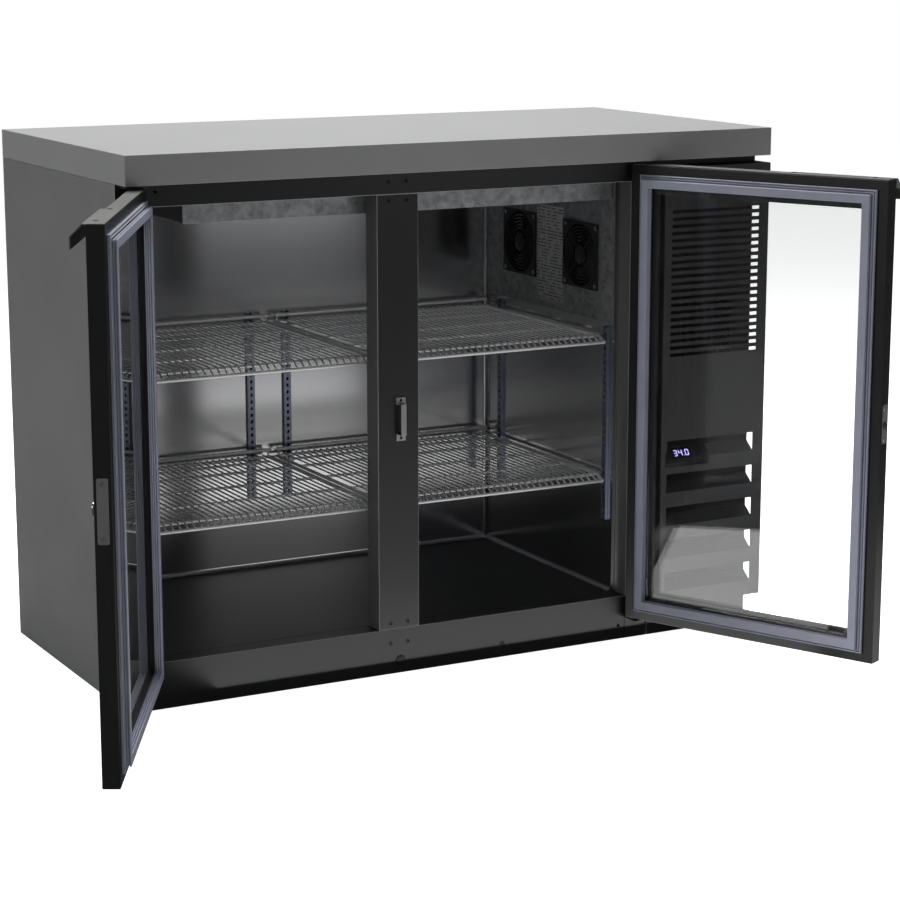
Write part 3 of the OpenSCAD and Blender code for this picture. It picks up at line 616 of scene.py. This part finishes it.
def addStandard(bm, place, low, high):
    # channel section whose face carries a ladder of slots; the wall lies on y = 0
    look = standardLook
    half, deep, sheet = look["width"] / 2, look["depth"], look["sheet"]
    made = []

    def part(x0, y0, z0, x1, y1, z1):
        made.extend(addBox(bm, (x0 * mm, y0 * mm, z0 * mm), (x1 * mm, y1 * mm, z1 * mm)))

    for side in (-1, 1):
        x0, x1 = sorted((side * half, side * (half - sheet)))
        part(x0, -deep, low, x1, 0, high)
        x0, x1 = sorted((side * (half - sheet), side * look["slotWide"] / 2))
        part(x0, -deep, low, x1, -deep + sheet, high)
    rung = low
    while rung < high:
        top = min(high, rung + look["pitch"] - look["slotTall"])
        part(-look["slotWide"] / 2, -deep, rung, look["slotWide"] / 2, -deep + sheet, top)
        rung += look["pitch"]
    bmesh.ops.transform(bm, matrix=place, verts=list(set(made)))


def buildStandards():
    low, high = mmBox("shelf_standards")
    middle = middleOf("center_mullion").x
    mullionBack = mmBox("center_mullion")[1].y + casing["gap"]
    spots = [(middle + x, high.y, 0) for x in standardLook["onBack"]]
    for y in standardLook["onSides"]:
        spots.append((low.x, y, 90))
        spots.append((high.x, y, -90))
    spots += [(middle + x, mullionBack, 180) for x in standardLook["onMullion"]]
    bm = bmesh.new()
    for x, y, turn in spots:
        place = Matrix.Translation(at(x, y, 0)) @ Matrix.Rotation(math.radians(turn), 4, "Z")
        addStandard(bm, place, low.z, high.z)
    finishPiece("slotted_standards", bm, "zinc_strip", "cabinet", ("shelf_standards",), clean=False)


buildStandards()
softEdged("shelf_clips", standardLook["clipEdge"])
print("standards done")


coves = {"radius": 7, "steps": 6, "inset": 0.5, "sheet": 0.4}


def buildCoves():
    # quarter round beads where the liner sheets meet
    floorLow, floorHigh = mmBox("floor_liner")
    wallTop = mmBox("wall_liner")[1].z
    radius, steps, inset = coves["radius"], coves["steps"], coves["inset"]
    bm = bmesh.new()
    x0, x1 = floorLow.x + inset, floorHigh.x - inset
    y1, z0 = floorHigh.y - inset, floorHigh.z + inset
    front = floorLow.y

    def bead(start, end, inA, inB):
        # a concave strip between two faces, with its arc bulging into the corner
        arcs = []
        for point in (start, end):
            verts = []
            for index in range(steps + 1):
                angle = math.pi / 2 * index / steps
                offset = (inA * (1 - math.sin(angle)) + inB * (1 - math.cos(angle))) * radius
                verts.append(bm.verts.new(Vector(point) + offset * mm))
            arcs.append([bm.edges.new(pair) for pair in zip(verts, verts[1:])])
        bmesh.ops.bridge_loops(bm, edges=arcs[0] + arcs[1])

    up, back, right = Vector((0, 0, 1)), Vector((0, 1, 0)), Vector((1, 0, 0))
    bead(at(x0, y1, z0), at(x1, y1, z0), -back, up)
    bead(at(x1, front, z0), at(x1, y1, z0), -right, up)
    bead(at(x0, front, z0), at(x0, y1, z0), right, up)
    bead(at(x1, y1, z0), at(x1, y1, wallTop), -right, -back)
    bead(at(x0, y1, z0), at(x0, y1, wallTop), right, -back)
    bmesh.ops.solidify(bm, geom=bm.faces, thickness=coves["sheet"] * mm)
    finishPiece("liner_corner_beads", bm, "stainless", "cabinet")


buildCoves()
print("liner corners done")


guardLook = {
    "mouthInset": 3.5, "firstRing": 26.2, "ringStep": 6.2, "ringWire": 1.4, "rim": 5, "spokes": 4,
    "spokeStart": 16, "spokeRadius": 1.3, "screwInset": 7.5, "screwRadius": 4.2,
}


def buildGuard():
    low, high = mmBox("fan_guards")
    half, depth = (high.z - low.z) / 2, high.x - low.x
    middleZ = (low.z + high.z) / 2
    face = low.x
    out = (-1, 0, 0)
    wire = guardLook["ringWire"]
    bm = bmesh.new()
    screws = bmesh.new()
    for y in (low.y + half, high.y - half):
        place = facing(at(face, y, middleZ), out)
        # square plate with a round mouth: the plate's corners are four gussets
        mouth = (half - guardLook["mouthInset"]) * mm
        circle = bmesh.ops.create_circle(bm, segments=48, radius=mouth)["verts"]
        square = []
        for vert in circle:
            flat = Vector((vert.co.x, vert.co.y))
            reach = half * mm / max(abs(flat.x), abs(flat.y)) * flat.length
            square.append(bm.verts.new((flat.normalized() * reach).to_3d()))
        squareEdges = [bm.edges.new(pair) for pair in zip(square, square[1:] + square[:1])]
        circleEdges = [edge for edge in edgesOf(circle) if all(vert in circle for vert in edge.verts)]
        plate = bmesh.ops.bridge_loops(bm, edges=squareEdges + circleEdges)["faces"]
        grown = bmesh.ops.extrude_face_region(bm, geom=plate)["geom"]
        lifted = [item for item in grown if isinstance(item, bmesh.types.BMVert)]
        bmesh.ops.translate(bm, verts=lifted, vec=(0, 0, -depth * mm))
        bmesh.ops.transform(bm, matrix=place, verts=circle + square + lifted)
        radius = guardLook["firstRing"]
        while radius < half - guardLook["rim"]:
            section = [(radius - wire, -1.5), (radius, -0.3), (radius + wire, -1.5), (radius, -2.7),
                       (radius - wire, -1.5)]
            spinOutline(bm, inMetres(section), place, 48)
            radius += guardLook["ringStep"]
        hub = [(0, 0), (15, 0), (17.5, -0.6), (18, -1.6), (18, -3), (0, -3)]
        spinOutline(bm, inMetres(hub), place, 40)
        for index in range(guardLook["spokes"]):
            angle = math.tau * (index + 0.5) / guardLook["spokes"]
            aim = Vector((0, math.cos(angle), math.sin(angle)))
            start = at(face + 1.6, y, middleZ) + aim * guardLook["spokeStart"] * mm
            addRod(bm, start, start + aim * (half - 20) * mm, guardLook["spokeRadius"] * mm, 8)
        corner = half - guardLook["screwInset"]
        for ySide in (-1, 1):
            for zSide in (-1, 1):
                spot = at(face, y + ySide * corner, middleZ + zSide * corner)
                addCountersunk(screws, facing(spot, out), guardLook["screwRadius"], 0.4, 0.9)
    finishPiece("finger_guards", bm, "fan_plastic", "cabinet", ("fan_guards",))
    finishPiece("guard_screws", screws, "lock_metal", "cabinet")


evaporatorRotor = {"blades": 7, "tilt": 38, "axis": "x", "hub": 20}
condenserRotor = {"blades": 5, "tilt": 30, "axis": "y", "hub": 18}
bladeLook = {"sheet": 1.4, "chord": 0.55, "sweep": 14, "tipGap": 1.5, "camber": 4, "steps": 6}


def buildRotor(node, rotor):
    # swept blades on a drum hub; the shaft runs along the rotor's axis
    low, high = mmBox(node)
    hub = rotor["hub"]
    reach = (high.z - low.z) / 2
    if rotor["axis"] == "x":
        half = (high.x - low.x) / 2
        turn = Matrix.Rotation(math.pi / 2, 4, "Y")
    else:
        half = (high.y - low.y) / 2
        turn = Matrix.Rotation(-math.pi / 2, 4, "X")
    place = Matrix.Translation(at(*middleOf(node))) @ turn
    bm = bmesh.new()
    drum = [(0, -half + 1), (hub - 2, -half + 1), (hub, -half + 2.5), (hub, half - 1), (hub - 1.6, half - 1),
            (hub - 1.6, -half + 3), (3.05, -half + 3), (3.05, half - 1.5), (0, half - 1.5)]
    spinOutline(bm, inMetres(drum), place, 40)
    blades = bmesh.new()
    steps = bladeLook["steps"]
    for index in range(rotor["blades"]):
        strip = bmesh.ops.create_grid(blades, x_segments=steps, y_segments=steps, size=0.5)["verts"]
        for vert in strip:
            along, across = vert.co.x + 0.5, vert.co.y
            radius = hub - 1 + (reach - bladeLook["tipGap"] - hub + 1) * along
            chord = (reach * bladeLook["chord"]) * (0.75 + 0.25 * along)
            pitch = math.radians(rotor["tilt"] * (1.15 - 0.35 * along))
            sweep = math.radians(bladeLook["sweep"]) * along
            lift = -across * chord * math.sin(pitch) + (across * across - 0.08) * bladeLook["camber"]
            swing = across * chord * math.cos(pitch) / radius + sweep + math.tau * index / rotor["blades"]
            lift = max(-half + 1, min(half - 1, lift))
            vert.co = Vector((radius * math.cos(swing), radius * math.sin(swing), lift)) * mm
    bmesh.ops.recalc_face_normals(blades, faces=blades.faces)
    bmesh.ops.solidify(blades, geom=blades.faces, thickness=bladeLook["sheet"] * mm)
    bmesh.ops.transform(blades, matrix=place, verts=blades.verts)
    spare = bpy.data.meshes.new("spare")
    blades.to_mesh(spare)
    blades.free()
    bm.from_mesh(spare)
    bpy.data.meshes.remove(spare)
    finishPiece(node + "_moulded", bm, slotOfNode[node], bodyOfNode[node], (node,))


buildGuard()
buildRotor("rear_fan_rotor", evaporatorRotor)
buildRotor("front_fan_rotor", evaporatorRotor)
buildRotor("condenser_fan", condenserRotor)
print("fans done")


# a door is built shut, in millimetres from its hinge pin: x runs to the free end, y into the cabinet, z up
door = {
    "hingeEnd": -23, "freeEnd": 472, "outer": -13.5, "inner": 13.5, "bottom": 43.5, "top": 860,
    "band": 40, "seam": 0.12, "gasketIn": 20, "gasketInZ": 16, "lockZ": 455, "lockInset": 20,
    "capThick": 2.1, "capEdge": 0.4, "capScrews": (34, 185),
}


def doorPlace(side):
    joint = jointNamed[side + "_door_hinge"]
    x, y = joint["pos_m"][0], joint["pos_m"][1]
    opened = -joint["range_deg"][1] if side == "left" else -joint["range_deg"][0]
    place = Matrix.Translation((x, y, 0)) @ Matrix.Rotation(math.radians(opened), 4, "Z")
    if side == "right":
        place = place @ Matrix.Scale(-1, 4, (1, 0, 0))
    return place @ Matrix.Scale(mm, 4)


def finishOnDoor(name, bm, slot, side, body, hides=(), angle=32):
    # moves a piece drawn in millimetres on the shut door to where the door stands
    bmesh.ops.transform(bm, matrix=doorPlace(side), verts=bm.verts)
    finishPiece(side + "_" + name, bm, slot, body, hides, angle=angle)


def sideways(x, y, z, axis="Y"):
    # a frame at a point on the shut door whose Z points along x, or against y
    return Matrix.Translation((x, y, z)) @ Matrix.Rotation(math.pi / 2, 4, axis)


def gasketOutline():
    # two mounting ribs, bellows folded on both sides and the wide magnet pad, as (inset, height)
    ribs = [(0, 0), (0, 3.6), (0.6, 4.4), (2.1, 4.4), (2.7, 3.4), (2.9, 1.2), (3.8, 1.2), (4, 4), (4.6, 5.6),
            (5.9, 5.6), (6.5, 4.4), (6.7, 1.2), (8.8, 1.2)]
    pad = [(9, 6), (7.8, 6.8), (7.8, 8.6), (10, 9.2), (10, 10), (7.8, 10.7), (7.8, 12.1), (8.6, 12.8),
           (21.2, 12.8), (22, 12), (22, 10.6)]
    folds = [(19.4, 10), (19.4, 9.2), (22, 8.4), (22, 7), (19.4, 6.4), (19.4, 5.6), (22, 4.8), (22, 3.4),
             (19.4, 2.8), (19.4, 2), (22, 1.2), (22, 0)]
    return [(inset, door["inner"] + 0.1 + height) for inset, height in ribs + pad + folds]


def buildDoorFrame(side):
    body = side + "_door"
    bm = bmesh.new()
    lip, step = 0.8, 1.2
    band, outer, inner = door["band"], door["outer"], door["inner"]
    # the groove beside the gasket runs from 16 to 18.5
    section = [(0, outer + lip), (lip, outer), (band - lip, outer), (band, outer + lip), (band, inner - lip),
               (band - lip, inner), (18.5, inner), (18, inner - step), (16.5, inner - step), (16, inner),
               (lip, inner), (0, inner - lip)]
    edges = (door["hingeEnd"], door["freeEnd"], door["bottom"], door["top"])
    addMitredBars(bm, section, *edges, door["seam"])
    finishOnDoor("door_rails", bm, "black_paint", side, body, (side + "_door_frame",), angle=25)
    bm = bmesh.new()
    inset, tall = door["gasketIn"], door["gasketInZ"]
    addBand(bm, gasketOutline(), door["hingeEnd"] + inset, door["freeEnd"] - inset,
            door["bottom"] + tall, door["top"] - tall)
    finishOnDoor("ribbed_gasket", bm, "door_gasket", side, body, (side + "_door_gasket",), angle=25)


latch = {
    "left": {"tall": 96, "screwOut": 40}, "right": {"tall": 66, "screwOut": 26},
    "halfWide": 8.5, "y": -0.5, "proud": 0.75, "corner": 2.5,
}


def buildLatchPlate(side):
    body = side + "_door"
    half, spread = latch[side]["tall"] / 2, latch[side]["screwOut"]
    y, z = latch["y"], door["lockZ"]
    face = door["freeEnd"] + latch["proud"]
    bm = bmesh.new()
    plate = addBox(bm, (door["freeEnd"] + 0.05, y - latch["halfWide"], z - half),
                   (face, y + latch["halfWide"], z + half))
    corners = [edge for edge in edgesOf(plate) if abs(edge.verts[0].co.x - edge.verts[1].co.x) > 0.1]
    bevelEdges(bm, corners, latch["corner"], 4)
    finishOnDoor("latch_cover", bm, "keeper_metal", side, body, (side + "_latch_plate",))
    bm = bmesh.new()
    head = [(0, 0.1), (1.4, 0.1), (1.6, 0.6), (2.6, 0.7), (3.4, 0.4), (3.7, 0), (3.4, -0.5), (0, -0.5)]
    for screwZ in (z - spread, z + spread):
        spinOutline(bm, head, sideways(face, y, screwZ), 24)
    finishOnDoor("latch_screws", bm, "lock_metal", side, body)


def buildBumper():
    # round stop between the screws of the right door's plate
    bm = bmesh.new()
    outline = [(0, 1.6), (3.5, 1.6), (5.8, 1.2), (7.2, 0.5), (7.6, -0.3), (0, -0.3)]
    spinOutline(bm, outline, sideways(door["freeEnd"] + 0.7, latch["y"], door["lockZ"] - 3), 32)
    finishOnDoor("edge_bumper", bm, "black_plastic", "right", "right_door")


def buildCap(side):
    # folded cap with its pull, and the screws that hold it
    softEdged(side + "_door_handle", door["capEdge"])
    bm = bmesh.new()
    head = [(0, -0.6), (1.5, -0.6), (1.6, 0.9), (2.8, 1.1), (3.8, 0.8), (4.3, 0), (0, -0.2)]
    for back in door["capScrews"]:
        place = Matrix.Translation((door["freeEnd"] - back, -3.5, door["top"] + door["capThick"]))
        spinOutline(bm, head, place, 24)
    finishOnDoor("cap_screws", bm, "dark_screw", side, side + "_door")


def buildLock(side):
    # barrel with a rounded rim, a recessed plug and the key slot
    body = side + "_lock_barrel"
    x, z = door["freeEnd"] - door["lockInset"], door["lockZ"]
    front = door["outer"] - 4.5
    outline = [(0, 1.2), (6.4, 1.2), (6.4, 0.4), (6.9, 0.4), (6.9, 1.6), (8.8, 1.9), (9.6, 1.4), (10, 0.4),
               (10, -2.4), (9, -2.4), (9, -18), (0, -18)]
    raised = [(radius, -front - 1.9 + height) for radius, height in outline]
    bm = bmesh.new()
    spinOutline(bm, raised, sideways(x, 0, z, "X"), 40)
    finishOnDoor("lock_barrel", bm, "lock_metal", side, body, (side + "_lock",))
    bm = bmesh.new()
    addBox(bm, (x - 4, front + 0.35, z - 0.7), (x + 4, front + 1.2, z + 0.7), 0.2)
    finishOnDoor("key_slot", bm, "dark_screw", side, body)


for doorSide in ("left", "right"):
    buildDoorFrame(doorSide)
    buildLatchPlate(doorSide)
    buildCap(doorSide)
    buildLock(doorSide)
buildBumper()
print("doors done")


# the window is (x0, y0, x1, y1) on the sloping face
controller = {
    "slope": 40, "width": 86, "depth": 40, "lowerEdge": 326, "inset": 12, "forward": 3,
    "window": (22, 10, 64, 34), "rim": 1.4, "ridges": (2.2, 4.2, 6.2), "keyInset": 11, "digitsAt": (25.5, 15),
}


def controllerPlace():
    # the controller's face is the plane z = 0 of this frame, in millimetres
    low = mmBox("grille_panel")[0]
    spot = at(low.x + controller["inset"], controller["forward"], controller["lowerEdge"])
    return (Matrix.Translation(spot) @ Matrix.Rotation(math.radians(controller["slope"]), 4, "X")
            @ Matrix.Scale(mm, 4))


digitLook = {"tall": 13.5, "wide": 7.6, "stroke": 1.35, "lean": 0.18, "step": 11}
segmentsOf = {"3": "abgcd", "4": "fgbc", "0": "abcdef"}


def addDigit(bm, text, left, low):
    # seven segments: a top, b and c right, d bottom, e and f left, g middle
    tall, wide, stroke = digitLook["tall"], digitLook["wide"], digitLook["stroke"]
    half = tall / 2
    inner = wide - stroke
    bars = {
        "a": (stroke, tall - stroke, inner, tall), "g": (stroke, half - stroke / 2, inner, half + stroke / 2),
        "d": (stroke, 0, inner, stroke), "b": (inner, half + 0.4, wide, tall - 0.5),
        "c": (inner, 0.5, wide, half - 0.4), "f": (0, half + 0.4, stroke, tall - 0.5),
        "e": (0, 0.5, stroke, half - 0.4),
    }
    for key in segmentsOf[text]:
        x0, y0, x1, y1 = bars[key]
        made = addBox(bm, (left + x0, low + y0, 0.3), (left + x1, low + y1, 0.5), 0.25, 1)
        for vert in made:
            vert.co.x += (vert.co.y - low) * digitLook["lean"]


def addWindowRim(bm):
    x0, y0, x1, y1 = controller["window"]
    rim = controller["rim"]
    for low, high in (((x0 - rim, y0 - rim), (x1 + rim, y0)), ((x0 - rim, y1), (x1 + rim, y1 + rim)),
                      ((x0 - rim, y0), (x0, y1)), ((x1, y0), (x1 + rim, y1))):
        addBox(bm, (*low, -0.2), (*high, 0.5), 0.3, 1)


def finishOnController(name, bm, slot, body, hides, finish=None):
    bmesh.ops.transform(bm, matrix=controllerPlace(), verts=bm.verts)
    finishPiece(name, bm, slot, body, hides, finish)


def buildController():
    width, depth = controller["width"], controller["depth"]
    bm = bmesh.new()
    addBox(bm, (0, 0, -3), (width, depth, 0), 0.8)
    addWindowRim(bm)
    for y in controller["ridges"]:
        addBox(bm, (3, y, -0.2), (width - 3, y + 0.9, 0.5), 0.3, 1)
    addBox(bm, (6, 5, -30), (width - 6, depth - 5, -2), 1.2)
    finishOnController("controller_bezel", bm, "black_plastic", "cabinet", ("controller_case",))
    x0, y0, x1, y1 = controller["window"]
    bm = bmesh.new()
    addBox(bm, (x0 + 0.3, y0 + 0.3, -0.9), (x1 - 0.3, y1 - 0.3, 0.2), 0.3)
    finishOnController("smoked_display", bm, "display_window", "cabinet", ("display_window",))
    bm = bmesh.new()
    left, low = controller["digitsAt"]
    for text in "34":
        addDigit(bm, text, left, low)
        left += digitLook["step"]
    addBox(bm, (left - 0.9, low, 0.3), (left + 0.8, low + 1.6, 0.5), 0.3, 1)
    addDigit(bm, "0", left + 2.6, low)
    finishOnController("display_digits", bm, "display_window", "cabinet", (), digitGlow)
    keyOutline = [(0, 1.3), (2.6, 1.2), (3.6, 0.8), (4, 0), (4, -8), (0, -8)]
    inset = controller["keyInset"]
    for node, x in (("left_button", inset), ("right_button", width - inset)):
        bm = bmesh.new()
        spinOutline(bm, keyOutline, Matrix.Translation((x, 10, 0.2)), 28)
        finishOnController(node + "_cap", bm, "button_rubber", bodyOfNode[node], (node,))


softEdged("grille_panel", 0.35, shortest=5)
buildController()
print("grille and controller done")


# every node that no piece replaces keeps its own mesh and takes the finish of its slot; the floor liner takes a
# darker copy of the liner as painted shade
for nodeName, node in frame["nodes"].items():
    slot = "floor_painted_shade" if nodeName == "floor_liner" else slotOfNode[nodeName]
    finish = finishes[slot]
    if node.data.materials:
        for index in range(len(node.material_slots)):
            node.material_slots[index].material = finish
    else:
        node.data.materials.append(finish)


view = {"focal": 98.58, "place": (-1.96884, -3.91155, 1.24868), "pitch": 11.77, "turn": 28.14}


def unreflected(tree, path, seen=None, level=1):
    # a value kept only for rays that no glossy surface has turned aside
    first = tree.nodes.new("ShaderNodeMath")
    first.operation = "LESS_THAN"
    first.inputs[1].default_value = 0.5
    kept = tree.nodes.new("ShaderNodeMath")
    kept.operation = "MULTIPLY"
    kept.inputs[1].default_value = level
    tree.links.new(path.outputs["Glossy Depth"], first.inputs[0])
    tree.links.new(first.outputs["Value"], kept.inputs[0])
    if seen:
        tree.links.new(seen, kept.inputs[1])
    return kept.outputs["Value"]


def whiteForEye(tree, path):
    # 1 for what the camera sees, straight or through glass
    seen = tree.nodes.new("ShaderNodeMath")
    seen.operation = "MAXIMUM"
    tree.links.new(path.outputs["Is Camera Ray"], seen.inputs[0])
    tree.links.new(path.outputs["Is Transmission Ray"], seen.inputs[1])
    return unreflected(tree, path, seen.outputs["Value"])


stage = {"tone": 0.9, "roughness": 0.8, "lift": 0.95, "white": 1.05, "dim": 0.07, "air": (0.9, 0.93, 1, 1)}


def buildStage():
    bm = bmesh.new()
    bmesh.ops.create_grid(bm, x_segments=1, y_segments=1, size=60)
    mesh = bpy.data.meshes.new("studioFloor")
    bm.to_mesh(mesh)
    bm.free()
    floor = bpy.data.objects.new("studio_floor", mesh)
    bpy.context.scene.collection.objects.link(floor)
    finish, tree, shader = startFinish("paleFloor", {"roughness": stage["roughness"]})
    path = tree.nodes.new("ShaderNodeLightPath")
    lift = tree.nodes.new("ShaderNodeMath")
    lift.operation = "MULTIPLY"
    lift.inputs[1].default_value = stage["lift"]
    tree.links.new(whiteForEye(tree, path), lift.inputs[0])
    shader.inputs["Emission Color"].default_value = (1, 1, 1, 1)
    tree.links.new(lift.outputs["Value"], shader.inputs["Emission Strength"])
    tree.links.new(unreflected(tree, path, level=stage["tone"]), shader.inputs["Base Color"])
    mesh.materials.append(finish)
    floor.visible_glossy = False


softboxes = {
    "overheadBox": {"place": (0.3, 0.9, 3.6), "aim": (0, 0, 0.8), "size": (3.2, 2.2), "power": 203},
    "frontBox": {"place": (1.6, -3.2, 0.9), "aim": (0, 0, 0.4), "size": (1.2, 1.0), "power": 2.5},
    "leftBox": {"place": (-3.6, -0.6, 1.9), "aim": (-0.6, 0, 0.5), "size": (1.6, 1.6), "power": 28},
    "lowBox": {"place": (0.6, -1.35, 0.02), "aim": (0.6, -1.35, 1), "size": (1.9, 1.4), "power": 6},
    "nearBox": {"place": (0.1, -0.44, 0.02), "aim": (0.1, -0.44, 1), "size": (1.1, 0.36), "power": 2},
}


def addSoftbox(name, box):
    lamp = bpy.data.lights.new(name, "AREA")
    lamp.shape = "RECTANGLE"
    lamp.size, lamp.size_y = box["size"]
    lamp.energy = box["power"]
    holder = bpy.data.objects.new(name, lamp)
    bpy.context.scene.collection.objects.link(holder)
    holder.location = box["place"]
    aim = Vector(box["aim"]) - Vector(box["place"])
    holder.rotation_euler = aim.to_track_quat("-Z", "Y").to_euler()
    # the two boxes on the floor stand for its glow, and the near one only for its mirror image
    if name in ("lowBox", "nearBox"):
        holder.visible_camera = False
    if name == "nearBox":
        holder.visible_diffuse = False


def buildLight():
    world = bpy.data.worlds.new("studioAir")
    bpy.context.scene.world = world
    world.use_nodes = True
    tree = world.node_tree
    tree.nodes.clear()
    dim = tree.nodes.new("ShaderNodeBackground")
    dim.inputs["Color"].default_value = stage["air"]
    dim.inputs["Strength"].default_value = stage["dim"]
    white = tree.nodes.new("ShaderNodeBackground")
    white.inputs["Color"].default_value = (1, 1, 1, 1)
    white.inputs["Strength"].default_value = stage["white"]
    path = tree.nodes.new("ShaderNodeLightPath")
    mix = tree.nodes.new("ShaderNodeMixShader")
    output = tree.nodes.new("ShaderNodeOutputWorld")
    tree.links.new(whiteForEye(tree, path), mix.inputs["Fac"])
    tree.links.new(dim.outputs["Background"], mix.inputs[1])
    tree.links.new(white.outputs["Background"], mix.inputs[2])
    tree.links.new(mix.outputs["Shader"], output.inputs["Surface"])
    for name, box in softboxes.items():
        addSoftbox(name, box)


def buildCamera():
    lens = bpy.data.cameras.new("studioCamera")
    lens.lens = view["focal"]
    lens.sensor_width = 36
    lens.clip_end = 100
    camera = bpy.data.objects.new("studioCamera", lens)
    bpy.context.scene.collection.objects.link(camera)
    camera.location = view["place"]
    camera.rotation_euler = (math.radians(90 - view["pitch"]), 0, math.radians(-view["turn"]))
    bpy.context.scene.camera = camera


buildStage()
buildLight()
buildCamera()
bpy.context.scene.view_settings.view_transform = "Standard"
print("stage, light and camera done")
